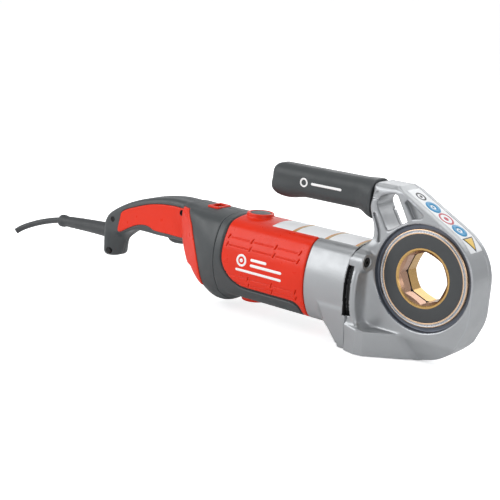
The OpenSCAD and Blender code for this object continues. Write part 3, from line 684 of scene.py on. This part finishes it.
def head_cover(x, y, z):
    shape = meet(head_solid(x, y, z), cover_zone(x, y, z) + 0.3, 0.8)
    shape = cut(shape, np.maximum(rod(x, z, CROSS_X, CROSS_Z, BEARING_R), y - PLATE_Y + 0.1))
    for cx, cz in COVER_SCREWS:
        shape = cut(shape, np.maximum(rod(x, z, cx, cz, COVER_HOLE_R), HALF_T - 3 - y), 0.8)
    return shape


def build_head():
    def zones(x, y, z):
        """1 in the black slot, 2 on the groove around each rim, which gets painted shade, otherwise 0."""
        groove = (np.abs(np.hypot(x, z) - RECESS_R + 3) < 4) & (np.abs(y) < HALF_T - 0.5)
        return np.where(seam_slot(x, y, z) < 0.6, 1, np.where(groove & (np.abs(y) > PLATE_Y - 0.5), 2, 0))

    low = [FLANGE_X - 2, -HALF_W - 2, FLOOR - 2]
    high = [NOSE_R + 2, HALF_W + 2, HEAD_TOP + 2]
    looks = [ALUMINIUM, BLACK, GROOVE_PAINTED_SHADE]
    sculpt("head_body", head_casting, low, high, looks, "head_casting", choose=zones)
    sculpt("head_back_cover", head_cover, [FLANGE_X + 10, COVER_Y - 2, -70], [high[0], HALF_T + 2, high[2]],
           looks, "head_cover", choose=zones)


def build_ring_faces():
    """The dark plate and the double-lipped rim, front and back."""
    plate_r = box_mm("front_plate")[1][0]
    rim_r = box_mm("front_rim")[1][0]
    neck_r = 32.05
    lip, valley = 1.0, 1.2
    for side, plate, rim in ((-1, "front_plate", "front_rim"), (1, "rear_plate", "rear_rim")):
        inner, outer = side * PLATE_Y, side * FACE_Y
        face = fillet([(neck_r, inner), (plate_r, inner), (plate_r, outer), (neck_r, outer)], 0.5)
        attach(turned(plate + "_ring", face, (0, 0, 0), "y", [DARK_PLATE]), plate)
        lips = fillet([(plate_r, inner), (rim_r, inner), (rim_r, outer - side * 0.9), (rim_r - lip, outer),
                       (rim_r - 2.2, outer), (rim_r - 2.6, outer - side * valley),
                       (rim_r - 3.1, outer - side * valley), (rim_r - 3.5, outer), (plate_r + 0.3, outer),
                       (plate_r, outer - side * 0.4)], 0.45)
        ring = turned(rim + "_ring", lips, (0, 0, 0), "y", [GOLD, STEEL])
        # The rim's middle band, between its lips, is bright steel in place of the zinc colour: a painted
        # highlight.
        for face in ring.data.polygons:
            radius = 1000 * math.hypot(face.center.x, face.center.z - AXIS_HEIGHT / 1000)
            face.material_index = int(plate_r + 1.2 < radius < rim_r - 1.6)
        attach(ring, rim)


# ---------- Gear case ----------

CASE_WALL = 4
LAY_Y, LAY_Z = middle("layshaft")[1:]
FOOT_SIDE = convex([(FLANGE_X + 5, FLOOR), (FLANGE_X - 10, FLOOR), (FLANGE_X - 12, FLOOR + 4),
                    (FLANGE_X - 28, FLOOR + 27), (FLANGE_X - 30, FLOOR + 44), (FLANGE_X + 5, FLOOR + 44)])


def gear_case(x, y, z):
    """Silver part of the barrel with its foot, the gears' rooms, and holes for two pairs of screws."""
    tube = meet(barrel(y, z), between(x, CASE_X + 0.4, FLANGE_X - 0.4), 2.2)
    foot_half = 38 + 0.16 * (z - FLOOR)
    foot = meet(meet(FOOT_SIDE(x, z), np.abs(y) - foot_half, 4), x - FLANGE_X + 0.4, 1)
    body = join(tube, foot, 9)
    body = meet(body, FLOOR - z, 1.5)
    body = cut(body, seam_slot(x, y, z), 1)
    hollow = np.maximum(barrel(y, z) + CASE_WALL, x - FLANGE_X + 16)
    body = cut(body, np.maximum(hollow, CASE_X - 2 - x))
    body = cut(body, rod(y, z, 0, BARREL_Z, 11))
    body = cut(body, np.maximum(rod(y, z, LAY_Y, LAY_Z, BEARING_R), x - FLANGE_X + 9))
    body = cut(body, np.maximum(rod(x, z, CROSS_X, CROSS_Z, WHEEL_R), between(y, 4, COVER_Y)))
    for across, up in SCREWS:
        body = cut(body, np.maximum(rod(y, z, across, up, SCREW_HOLE_R), FLANGE_X - 12.5 - x))
    for across, up in FOOT_SCREWS:
        body = cut(body, rod(y, z, across, up, SCREW_HOLE_R))
        body = cut(body, np.maximum(rod(y, z, across, up, 5.5), x - FLANGE_X + 8), 0.8)
    notch = np.maximum(between(x, FLANGE_X - 12, FLANGE_X - 10.5), between(z, FLOOR + 3, FLOOR + 7))
    return cut(body, notch, 0.5)


def build_gear_case():
    sculpt("gear_case_shell", gear_case, [CASE_X - 2, -HALF_W - 2, FLOOR - 2],
           [FLANGE_X + 2, HALF_W + 2, BARREL_Z + HALF_H + 2], [ALUMINIUM, BLACK], "gear_case",
           choose=lambda x, y, z: seam_slot(x, y, z) < 0.6)


# ---------- Motor ----------

SLED_Z = -56
SLED_FRONT = -139
CORNER_R = 36
GASKET = 1.1
MOTOR_WALL = 5.2
SHAFT_HOLE_R = 11
BOSS_R = 16.7
BOSS_TOP = box_mm("brush_cap_top")[1][2]
BOSS_REACH = BOSS_TOP - BARREL_Z
CAP_R = box_mm("brush_cap_top")[1][0] - CAP_X
CAP_SEAT = 46

_corner = disc(MOTOR_X - 1 + CORNER_R, SLED_Z + CORNER_R, CORNER_R)
RED_SIDE = convex(_corner + [(MOTOR_X - 1, FAR), (0, FAR), (0, SLED_Z)])


def red_area(x, z):
    """Side view of the red housing: a rounded rear corner, and a strip down in front of the dark sled."""
    return join(RED_SIDE(x, z), SLED_FRONT - x, 14)


def brush_boss(x, y, z, grow=0.0):
    """The round bosses above and below that hold the brush caps."""
    up = np.abs(z - BARREL_Z)
    radius = BOSS_R + grow - 0.05 * np.maximum(up - 38, 0)
    return meet(rod(x, y, CAP_X, 0, radius), np.maximum(up - BOSS_REACH - grow, 34 - up), 1.4)


def vents(x, y, z):
    """Four rows of fine slots on each side, with slanting ends."""
    skin = barrel(y, z)
    cuts = FAR
    ends = np.linspace(CAP_X - 10.5, CASE_X - 10.5, 4)
    for up in (1, -8, -42.5, -50.5):
        for left, right in zip(ends, ends[1:]):
            line = np.maximum(between(x, left + 3, right - 3), between(z, up - 0.9, up - 0.1))
            cuts = np.minimum(cuts, np.maximum(line, -skin - 0.9))
        for end in ends:
            lean = (x - end) - 0.42 * (z - up)
            mark = np.maximum(between(lean, -0.6, 0.6), between(z, up - 2.8, up + 2.8))
            cuts = np.minimum(cuts, np.maximum(mark, -skin - 2))
    return cuts


def motor_housing(x, y, z):
    """Red part of the barrel with its brush bosses and slots."""
    body = meet(barrel(y, z), between(x, MOTOR_X - 20, CASE_X - 0.4), 2.2)
    body = meet(body, red_area(x, z) + GASKET, 2.0)
    body = join(body, brush_boss(x, y, z), 2.4)
    body = cut(body, meet(barrel(y, z) + MOTOR_WALL, MOTOR_X + 10 - x, 2))
    body = cut(body, rod(y, z, 0, BARREL_Z, SHAFT_HOLE_R))
    up = np.abs(z - BARREL_Z)
    body = cut(body, np.maximum(rod(x, y, CAP_X, 0, CAP_R + 0.5), CAP_SEAT - 0.1 - up), 0.8)
    body = cut(body, np.maximum(rod(x, y, CAP_X, 0, 8.5), 14 - up))
    return cut(body, vents(x, y, z), 0.6)


REAR_SIDE = convex(spline([(-337.5, 22), (-337, 8), (-334, -10), (-329, -27), (-318.5, -44),
                           (-305, -59.5), (-292, -73), (-284, -80)], 3, closed=False)
                   + [(0, -90), (0, 60), (-337, 60)])
REAR_PLAN = convex([(along, s * across) for s in (-1, 1)
                    for along, across in ((0, HALF_W + 9), (COLLAR_X + 4, HALF_W + 9), (-276, 48.2),
                                          (-290, 43), (-305, 37), (-320, 31.2), (-331, 27), (-338, 22))])


def rear_side(x, z):
    """Side view of the rear end. It steps forward below the trim blades."""
    return REAR_SIDE(x - 6 * step_up(-z, 46, 49), z)


def rear_body(x, y, z):
    """Barrel from the collar back, swept in towards the handle, with the rounded belly below it."""
    body = meet(meet(barrel(y, z), rear_side(x, z), 12), REAR_PLAN(x, y), 8)
    belly = ellipsoid(x, y, z, (-276, 0, -62), (28, 30, 27))
    return join(body, belly, 14)


def collar_and_sled(x, y, z):
    """Dark collar behind the red housing, and the strip that runs forward from it under the housing."""
    body = meet(rear_body(x, y, z), between(x, COLLAR_X + 0.3, CASE_X - 0.4), 1.2)
    body = meet(body, GASKET - red_area(x, z), 2.0)
    strip_wall, collar_wall = 2.4, 21.8
    wall = collar_wall - (collar_wall - strip_wall) * step_up(x, MOTOR_X - 0.2, MOTOR_X + 0.2)
    body = cut(body, barrel(y, z) + wall)
    return cut(body, brush_boss(x, y, z, 0.4), 1)


def gasket(x, y, z):
    """Black line between the red housing and the dark parts."""
    band = np.maximum(np.abs(red_area(x, z)) - GASKET, between(x, COLLAR_X + 6, CASE_X - 0.6))
    skin = np.maximum(barrel(y, z) + 0.5, -barrel(y, z) - 2.6)
    return cut(np.maximum(band, skin), brush_boss(x, y, z, 0.4))


def brush_cap(side):
    """A slotted screw cap. side is 1 for the top one and -1 for the bottom one."""
    def shape(x, y, z):
        up = side * (z - BARREL_Z)
        disc_part = meet(rod(x, y, CAP_X, 0, CAP_R), between(up, CAP_SEAT, BOSS_REACH), 1.6)
        disc_part = cut(disc_part, meet(rod(x, y, CAP_X, 0, CAP_R - 3), 53.8 - up, 0.8), 0.8)
        knob = meet(rod(x, y, CAP_X, 0, 8), between(up, 40, BOSS_REACH), 1.2)
        return cut(join(disc_part, knob, 0.8), meet(np.abs(y) - 1.3, 53 - up, 0.4), 0.4)
    return shape


def build_motor():
    top = BOSS_TOP + 2
    low = [COLLAR_X - 2, -HALF_W - 3, 2 * BARREL_Z - top - 1]
    high = [CASE_X + 2, HALF_W + 3, top]
    sculpt("motor_housing_shell", motor_housing, low, high, [RED], "motor_housing", step=0.9)
    sculpt("collar_and_sled", collar_and_sled, [low[0], low[1], -95], high, [CHARCOAL], "lower_sled")
    sculpt("housing_gasket", gasket, low, high, [BLACK], step=0.8)
    for side, node in ((1, "brush_cap_top"), (-1, "brush_cap_bottom")):
        ends = sorted((BARREL_Z + side * 37, BARREL_Z + side * 57))
        sculpt(node + "_disc", brush_cap(side), [CAP_X - 17, -17, ends[0]], [CAP_X + 17, 17, ends[1]],
               [CHARCOAL], node, step=0.6)


# ---------- Front grip ----------

def grip(x, y, z):
    """Rubber sleeve: a rounded bar with a domed end, a finger guard below it and a collar at the head."""
    flare = step_up(x, WEB_X - 24, WEB_X - 2)
    body = rounded_box(y, z - GRIP_Z + 3.2 * flare, 16, 17.5, 12.5) - 4.6 * flare
    body = meet(body, between(x, GRIP_END, WEB_X - 1), 0.8)
    body = meet(body, GRIP_END - x, 16)
    guard = ellipsoid(x, y, z, (GRIP_END + 21, 0, GRIP_Z - 10), (21, 13, 11.5))
    body = join(body, guard, 8)
    body = cut(body, np.maximum(rod(y, z, 0, GRIP_Z, 11.1), -186 - x))
    body = cut(body, rod(y, z, 0, GRIP_Z, 3))
    return cut(body, np.maximum(rod(y, z, 0, GRIP_Z, WELL_R), x - GRIP_END - 8), 0.8)


def build_grip():
    sculpt("front_grip", grip, [GRIP_END - 2, -24, GRIP_Z - 26], [WEB_X + 2, 24, GRIP_Z + 26], [RUBBER],
           "grip_sleeve")


# ---------- Rear handle ----------

ARCH = outline(spline([(-290, 14), (-310, 18), (-325, 20.6), (-340, 21.8), (-358, 21.8), (-378, 19.5),
                       (-398, 15.6), (-418, 9.8), (-439, 1.6), (-458, -8.4), (-470, -17), (-476, -27),
                       (-477.5, -40), (-477.5, -60), (-476.5, -69), (-471, -72.5), (-463, -72.5),
                       (-457.5, -70.5), (-455, -65), (-451.5, -54), (-446.5, -45), (-439.5, -37.5),
                       (-429, -32), (-416, -29.5), (-400, -29.2), (-385, -29.5), (-360, -29), (-320, -29),
                       (-290, -29)], 3))
INLAY = outline(spline([(-336, 13), (-345, 13.8), (-360, 13.6), (-380, 11.5), (-400, 7.2), (-420, 0.6),
                        (-432, -3.6), (-443, -9.6), (-446, -18), (-449.5, -32), (-448.5, -37), (-440, -33.5),
                        (-425, -25.5), (-411, -20.5), (-400, -19.2), (-392, -20.5), (-385, -23), (-360, -23),
                        (-337, -23), (-335, -18), (-335, 8)], 3))
BLADE_FRONT = outline([(-322, 60), (-321.5, 18), (-315, 11), (-307, 1), (-302.3, -10), (-297, -21),
                       (-292.3, -32), (-289, -41), (-287, -50), (-285.5, -60), (-285, -90), (-200, -90),
                       (-200, 60)])
TRIGGER = outline(spline([(-343.5, -32), (-343.5, -20), (-346, -15), (-354, -14), (-372, -15.5),
                          (-390, -17.5), (-398, -22), (-399, -28), (-392, -30), (-376, -31), (-370, -35),
                          (-362, -36.3), (-348, -35)], 3))
HANDLE_SCREWS = [(-459, -22), (-466.5, -65.5), (-339, 8)]
SHELL = 3
SHELL_GAP = 0.12
INSERT_GAP = 0.25
BLADE_INNER_Y = 19.2
PIN_R = 2.05


def screw_recess(x, y, z):
    wells = [np.maximum(rod(x, z, cx, cz, 3.4), HANDLE_Y - 5 - np.abs(y)) for cx, cz in HANDLE_SCREWS]
    return np.minimum(np.minimum(wells[0], wells[1]), wells[2])


# The handle screws' wells are made black: painted shade in the recesses.
def recess_painted_shade(x, y, z):
    return screw_recess(x, y, z) < 0.5


def arch(x, y, z):
    """The arched handle. Its foot gets narrower towards the fingers."""
    taper = 11 * step_up(x, -473, -450) * step_up(-z, 33, 50)
    return meet(ARCH(x, z), np.abs(y) - HANDLE_Y + taper, 8)


def handle_solid(x, y, z):
    return join(meet(rear_body(x, y, z), x - COLLAR_X + 0.3, 1.2), arch(x, y, z), 5)


def blade(x, y, z, grow=0.0):
    """Red trim blade along the rear edge of the barrel's sides."""
    rear = rear_body(x, y, z)
    area = meet(-BLADE_FRONT(x, z) - grow, rear_side(x, z) - grow, 1.5)
    area = np.maximum(area, between(z, -68 - grow, 17.5 + grow))
    skin = np.maximum(rear - 1.1 - grow, -rear - 3 - grow)
    return meet(meet(area, skin, 1.2), BLADE_INNER_Y - grow - np.abs(y), 1)


def inlay(x, y, z, grow=0.0):
    """Red insert in the side of the arch."""
    skin = np.maximum(arch(x, y, z) - 0.8 - grow, HANDLE_Y - 2.5 - grow - np.abs(y))
    return meet(INLAY(x, z) - grow, skin, 1.6)


def slide_window(x, y, z):
    return meet(rounded_box(x - SLIDE_X, y, 6.4, 8.4, 1.6), between(z, 5, 60), 0.5)


def slide_frame(x, y, z):
    top = BARREL_Z + HALF_H
    ring = meet(rounded_box(x - SLIDE_X, y, 8.8, 12.5, 2.5), between(z, top - 3.6, top + 1.4), 1.4)
    return cut(ring, slide_window(x, y, z), 0.8)


def slide_button(x, y, z):
    """The slide's flat slab with a ridge across it."""
    slab = meet(rounded_box(x - SLIDE_X, y, 2, 7, 0.8), between(z, 17, 20.6), 0.8)
    ridge = meet(np.abs(y) - 5, between(z, 19, 21.7), 0.8)
    ridge = meet(between(x, SLIDE_X - 0.9, SLIDE_X + 0.9), ridge, 0.8)
    return join(slab, ridge, 0.8)


def trigger_paddle(x, y, z):
    pin_x, _, pin_z = middle("trigger_pin")
    return cut(meet(TRIGGER(x, z), np.abs(y) - 6.5, 3), rod(x, z, pin_x, pin_z, PIN_R))


def handle_shell(side):
    """One half of the handle, hollow, with room for the trigger, the slide, the cord and the red inserts."""
    def shape(x, y, z):
        solid = handle_solid(x, y, z)
        body = cut(solid, solid + SHELL)
        trigger_gap = meet(between(x, -402, -339), np.abs(y) - 7.2, 1)
        body = cut(body, np.maximum(trigger_gap, between(z, -45, -5)), 1)
        body = cut(body, slide_window(x, y, z))
        body = cut(body, np.maximum(rounded_box(x - SLIDE_X, y, 9, 12.7, 2.6), 18 - z))
        body = cut(body, np.maximum(rod(y, z, 0, CORD_Z, 9.6), x + 466), 1)
        body = cut(body, inlay(x, y, z, INSERT_GAP))
        body = cut(body, blade(x, y, z, INSERT_GAP))
        body = cut(body, screw_recess(x, y, z), 0.6)
        return meet(body, SHELL_GAP - side * y, 0.8)
    return shape


def one_side(shape, side):
    """A trim piece's half on one side, with the handle screws' wells cut out."""
    return lambda x, y, z: cut(np.maximum(shape(x, y, z), -side * y), screw_recess(x, y, z), 0.4)


def build_handle():
    outer = HALF_W + 3
    for side, word in ((-1, "left"), (1, "right")):
        near, far = sorted((side * -2, side * outer))
        sculpt(word + "_handle", handle_shell(side), [FOOT_X - 2, near, -95], [COLLAR_X + 2, far, 28],
               [CHARCOAL, BLACK], "handle_" + word + "_shell", choose=recess_painted_shade)
        near, far = sorted((side * (HANDLE_Y - 6), side * (HANDLE_Y + 3)))
        sculpt(word + "_red_inlay", one_side(inlay, side), [-452, near, -41], [-332, far, 17], [RED, BLACK],
               word + "_inlay", step=0.8, choose=recess_painted_shade)
        near, far = sorted((side * 16, side * outer))
        sculpt(word + "_blade", one_side(blade, side), [-341, near, -75], [-280, far, 22], [RED],
               word + "_crescent", step=0.8)
    sculpt("slide_frame", slide_frame, [SLIDE_X - 12, -16, 10], [SLIDE_X + 12, 16, 28], [RED],
           "slide_bezel", step=0.6)
    sculpt("slide_button", slide_button, [SLIDE_X - 4, -9, 15], [SLIDE_X + 4, 9, 24], [CHARCOAL],
           "reversing_slide", "reversing", step=0.5)
    sculpt("trigger_paddle", trigger_paddle, [-403, -9, -40], [-340, 9, -10], [CHARCOAL], "trigger",
           "trigger", step=0.6)


def build_trigger_spring():
    """A coil between the trigger and the switch."""
    low, high = box_mm("trigger_spring")
    thick, coils = 0.4, 4
    centre = (low + high) / 2
    coil_r = (high[0] - low[0]) / 2 - thick
    line = []
    for t in np.linspace(0, 1, 24 * coils + 1):
        turn = 2 * math.pi * coils * t
        line.append((centre[0] + coil_r * math.cos(turn), coil_r * math.sin(turn),
                     low[2] + thick + t * (high[2] - low[2] - 2 * thick)))
    spring = attach(wire("trigger_coil", line, thick, 8, STEEL), "trigger_spring")
    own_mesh(spring)


# ---------- Cord ----------

CORD_R = 4.0
BOOT_END = box_mm("cord_boot")[0][0]
BOOT_DROOP = 4.4


def sag(along):
    """How far the boot and the cord in it hang down, at a place along x."""
    t = np.clip((FOOT_X - along) / (FOOT_X - BOOT_END), 0, 1.3)
    return BOOT_DROOP * t * t * (2.4 - t) / 1.4


def build_boot():
    """A ribbed sleeve that gets thinner towards its ball end, and droops a little."""
    ribs, ball = 9, 13
    profile = [(3.9, FOOT_X + 8), (9.4, FOOT_X + 8), (9.8, FOOT_X)]
    for i in range(1, ribs):
        t = i / ribs
        along = FOOT_X - t * (FOOT_X - BOOT_END - ball)
        profile += [(10.0 - 2.6 * t, along), (9.75 - 2.6 * t, along - 1.2)]
    profile += [(radius, BOOT_END + along) for radius, along in
                ((7.2, 12), (8.2, 9.5), (8.6, 6), (8.2, 2.6), (6.4, 0.4), (3.9, 0))]
    boot = turned("cord_boot_sleeve", profile, (0, 0, CORD_Z), "x", [CORD], 72)
    for vertex in boot.data.vertices:
        vertex.co.z -= sag(vertex.co.x * 1000) / 1000
    attach(boot, "cord_boot")


def cord_clamp(x, y, z):
    block = meet(rounded_box(x - FOOT_X - 12, y, 4, 8, 1.5), np.abs(z - CORD_Z) - 7, 1)
    return cut(block, rod(y, z, 0, CORD_Z, CORD_R + 0.1), 0.6)


def build_cord():
    build_boot()
    sculpt("cord_clamp_block", cord_clamp, [FOOT_X + 6, -10, CORD_Z - 9], [FOOT_X + 18, 10, CORD_Z + 9],
           [CHARCOAL], "cord_clamp", step=0.8)
    end = box_mm("cord")[0]
    inside = [(along, 0, CORD_Z - sag(along))
              for along in (FOOT_X + 16, FOOT_X - 30, BOOT_END + 20, BOOT_END)]
    hanging = [(-600, -1, -53), (-618, -4, -58.3), (-634, -8, -64.5), (-646, -12, -70.5),
               (end[0] + 2, end[1] + CORD_R, end[2] + 2)]
    line = spline(inside + hanging, 8, closed=False)
    attach(wire("power_cord", line, CORD_R, 32, CORD), "cord")


# ---------- Labels and plain marks ----------

LABEL_UP, LABEL_DOWN = 0.18, -0.6
RIM_LABEL_Y = (-12, 13)


def skin_height(shape, outside, inside, rounds=30):
    """Where a shape's surface lies between two arrays of places, by halving."""
    for _ in range(rounds):
        mid = (outside + inside) / 2
        is_out = shape(mid) > 0
        outside, inside = np.where(is_out, mid, outside), np.where(is_out, inside, mid)
    return (outside + inside) / 2


def barrel_top_sheet(x, y, lift):
    z = skin_height(lambda t: barrel(y, t) - lift, np.full(y.shape, 60.0), np.full(y.shape, BARREL_Z))
    return np.stack([x, y, z], -1)


def barrel_side_sheet(x, z, lift):
    y = skin_height(lambda t: barrel(t, z) - lift, np.full(z.shape, 80.0), np.zeros(z.shape))
    return np.stack([x, -y, z], -1)


def grip_side_sheet(x, z, lift):
    y = skin_height(lambda t: grip(x, t, z) - lift, np.full(z.shape, 40.0), np.full(z.shape, 12.0))
    return np.stack([x, -y, z], -1)


def rim_sheet(s, y, lift):
    """On the head's sloping rim. s runs up the slope from where it leaves the nose's curve."""
    angle = SLOPE + np.minimum(s, 0) / NOSE_R
    radius = NOSE_R + lift
    up = np.maximum(s, 0)
    x = np.where(s > 0, radius * math.cos(SLOPE) - up * math.sin(SLOPE), radius * np.cos(angle))
    z = np.where(s > 0, radius * math.sin(SLOPE) + up * math.cos(SLOPE), radius * np.sin(angle))
    return np.stack([x, y, z], -1)


def plate_from(name, make, u, v, materials, choose=None, closed_u=False, extra=0):
    """A thin label: make(u, v, lift) gives the surface's points, a little above and below the skin."""
    uu, vv = (u, v) if u.ndim == 2 else np.meshgrid(u, v, indexing="ij")
    points, faces = sheet(make(uu, vv, LABEL_UP + extra), make(uu, vv, LABEL_DOWN + extra), closed_u)
    chosen = choose(*points[faces].mean(1).T) if choose else None
    return attach(new_mesh(name, points, faces, materials, chosen))


def ring_grid(cu, cv, inner, outer):
    """A flat ring."""
    count, steps = 48, 3
    angle = 2 * math.pi * np.arange(count)[:, None] / count
    radius = np.linspace(inner, outer, steps)[None, :]
    return cu + np.cos(angle) * radius, cv + np.sin(angle) * radius


def bar_grid(u0, u1, v0, v1):
    """A bar with rounded ends."""
    count, rim = 40, np.linspace(0, math.pi / 2, 6)
    half = (v1 - v0) / 2
    u = np.concatenate([u0 + half * (1 - np.cos(rim)), np.linspace(u0 + half, u1 - half, count)[1:-1],
                        u1 - half * (1 - np.cos(rim[::-1]))])
    reach = np.clip(1 - np.minimum(u - u0, u1 - u) / half, 0, 1)
    height = np.sqrt(np.clip(1 - reach ** 2, 0.01, 1)) * half
    v = (v0 + v1) / 2 + height[:, None] * np.linspace(-1, 1, 4)[None, :]
    return u[:, None] + 0 * v, v


def build_barrel_label():
    """White rating label along the top of the barrel, with plain coloured bars."""
    start, end, half_width = -197, -78.5, 23
    bars, bar_width = (-165.5, -121, -80.5), 2.4
    edges = {start, start + 1, end} | set(np.arange(start + 2, end + 0.5, 4.0))
    for bar in bars:
        edges |= {bar - bar_width, bar, bar + bar_width}

    def ink(x, y, z):
        colour = np.zeros(len(x), int)
        for bar in bars:
            colour[np.abs(x - bar + bar_width / 2) < bar_width / 2] = 1
            colour[np.abs(x - bar - bar_width / 2) < bar_width / 2] = 2
        return colour

    across = np.linspace(-half_width, half_width, 40)
    plate_from("barrel_label", barrel_top_sheet, np.array(sorted(edges)), across,
               [LABEL_WHITE, LABEL_INK["orange"], LABEL_INK["tan"]], ink)


def build_marks():
    """Plain pipe-end marks and bars where the real tool carries lettering."""
    plate_from("side_bar", barrel_side_sheet, *bar_grid(-227, -161, -35, -32), [PAINT])
    plate_from("side_ring", barrel_side_sheet, *ring_grid(-219, -22, 4.6, 7.2), [PAINT], closed_u=True)
    plate_from("side_dot", barrel_side_sheet, *ring_grid(-219, -22, 0.4, 2.2), [PAINT], closed_u=True)
    for i, end in enumerate((-183, -161)):
        line = bar_grid(-206, end, -20.4 - 6.4 * i, -17.2 - 6.4 * i)
        plate_from(f"side_line_{i}", barrel_side_sheet, *line, [PAINT])
    z = GRIP_Z + 1
    plate_from("grip_ring", grip_side_sheet, *ring_grid(-163, z, 3.3, 5.2), [PAINT], closed_u=True)
    plate_from("grip_bar", grip_side_sheet, *bar_grid(-153, -112, z - 1.4, z + 1.4), [PAINT])


def build_rim_label():
    """The strip on the head's slope, with plain rings and a triangle."""
    mid = sum(RIM_LABEL_Y) / 2
    plate_from("rim_label", rim_sheet, np.linspace(-26, 71, 60), np.linspace(*RIM_LABEL_Y, 12), [LABEL_WHITE])
    ink_lift = 0.12
    target = ((0.3, 1.6), (3.6, 9.2))
    marks = [("grey", "black", 59, ((0.3, 2.0), (4.4, 6.4))), ("blue_a", "blue", 41, target),
             ("red", "red", 22, ((0.3, 3.0), (7.0, 9.2))), ("blue_b", "blue", 3, target)]
    for name, ink, at, rings in marks:
        for i, (inner, outer) in enumerate(rings):
            plate_from(f"rim_{name}_{i}", rim_sheet, *ring_grid(at, mid, inner, outer), [LABEL_INK[ink]],
                       closed_u=True, extra=ink_lift)
    for name, ink, size, layers in (("edge", "black", 1.0, 1), ("face", "yellow", 0.76, 2)):
        across, tip = np.linspace(-1, 1, 9)[None, :], np.linspace(0, 0.98, 9)[:, None]
        s = -14 - 18 * size * (tip - 0.34) + 0 * across
        y = mid + 10 * size * (1 - tip) * across
        plate_from("rim_triangle_" + name, rim_sheet, s, y, [LABEL_INK[ink]], extra=layers * ink_lift)


# ---------- Studio ----------

def build_floor():
    """A pale floor that looks evenly bright to the camera."""
    material = bpy.data.materials.new("studio floor")
    n = Nodes(material)
    tone = n.mix(n.spread(n.noise(3), 0, 1), (0.93, 0.93, 0.935), (0.96, 0.96, 0.96))
    seen = n.add("LightPath").outputs["Is Camera Ray"]
    n.fill(n.tree.nodes["Principled BSDF"], Base_Color=tone, Roughness=0.9, Specular_IOR_Level=0.1,
           Emission_Color=tone, Emission_Strength=n.spread(seen, 0, 0.6, 0, 1))
    reach = 60.0
    mesh = bpy.data.meshes.new("floor")
    corners = [(u * reach, v * reach, 0) for u, v in ((-1, -1), (1, -1), (1, 1), (-1, 1))]
    mesh.from_pydata(corners, [], [(0, 1, 2, 3)])
    mesh.materials.append(material)
    floor = bpy.data.objects.new("floor", mesh)
    bpy.context.scene.collection.objects.link(floor)


def area_light(name, place, aim, size, power):
    light = bpy.data.lights.new(name, "AREA")
    light.shape = "RECTANGLE"
    light.size, light.size_y = size
    light.energy = power
    holder = bpy.data.objects.new(name, light)
    bpy.context.scene.collection.objects.link(holder)
    holder.location = place
    holder.rotation_euler = (Vector(aim) - Vector(place)).to_track_quat("-Z", "Y").to_euler()
    holder.visible_camera = False


def build_lights():
    """Four soft lamps, and a sky that the camera sees as white. Places and sizes are in metres."""
    aim = (-0.2, 0, 0.08)
    area_light("key", (-1.45, -1.5, 1.02), aim, (2.0, 1.4), 24)
    area_light("top", (-0.2, 0.1, 1.7), aim, (1.8, 1.2), 11)
    area_light("right", (1.5, -0.7, 0.7), aim, (0.9, 0.9), 5)
    area_light("back", (-0.4, 1.6, 1.0), aim, (2.0, 0.8), 10)
    world = bpy.data.worlds.new("studio")
    bpy.context.scene.world = world
    n = Nodes(world)
    height = n.add("SeparateXYZ", Vector=n.where["Generated"]).outputs["Z"]
    ramp = n.add("ValToRGB", Fac=n.spread(height, 0, 1, -1, 1))
    stops = ramp.color_ramp.elements
    stops.new(0.8)
    sky = ((0.49, (0.22, 0.22, 0.23, 1)), (0.55, (0.85, 0.86, 0.88, 1)), (0.8, (0.40, 0.41, 0.42, 1)))
    for stop, (position, tone) in zip(stops, sky):
        stop.position, stop.color = position, tone
    seen = n.add("LightPath").outputs["Is Camera Ray"]
    n.fill(n.tree.nodes["Background"], Color=n.mix(seen, ramp.outputs["Color"], (1, 1, 1)), Strength=1.0)


def build_camera():
    """Camera at the photograph's place, with a slight roll."""
    azimuth, elevation, roll = (math.radians(a) for a in (38.41, 13.54, 3.93))
    place = Vector((0.5676, -1.0254, 0.293 + AXIS_HEIGHT / 1000))
    back = Vector((math.sin(azimuth) * math.cos(elevation), -math.cos(azimuth) * math.cos(elevation),
                   math.sin(elevation)))
    level = Vector((math.cos(azimuth), math.sin(azimuth), 0))
    right = level * math.cos(roll) + back.cross(level) * math.sin(roll)
    turn = Matrix((right, back.cross(right), back)).transposed().to_4x4()
    camera = bpy.data.cameras.new("camera")
    camera.sensor_width = 36
    camera.lens = 81.6
    holder = bpy.data.objects.new("camera", camera)
    bpy.context.scene.collection.objects.link(holder)
    holder.matrix_world = Matrix.Translation(place) @ turn
    bpy.context.scene.camera = holder
    bpy.context.scene.view_settings.view_transform = "Standard"


dress_frame()
build_head()
build_ring_faces()
build_gear_case()
build_motor()
build_grip()
build_handle()
build_trigger_spring()
build_cord()
build_barrel_label()
build_marks()
build_rim_label()
build_floor()
build_lights()
build_camera()
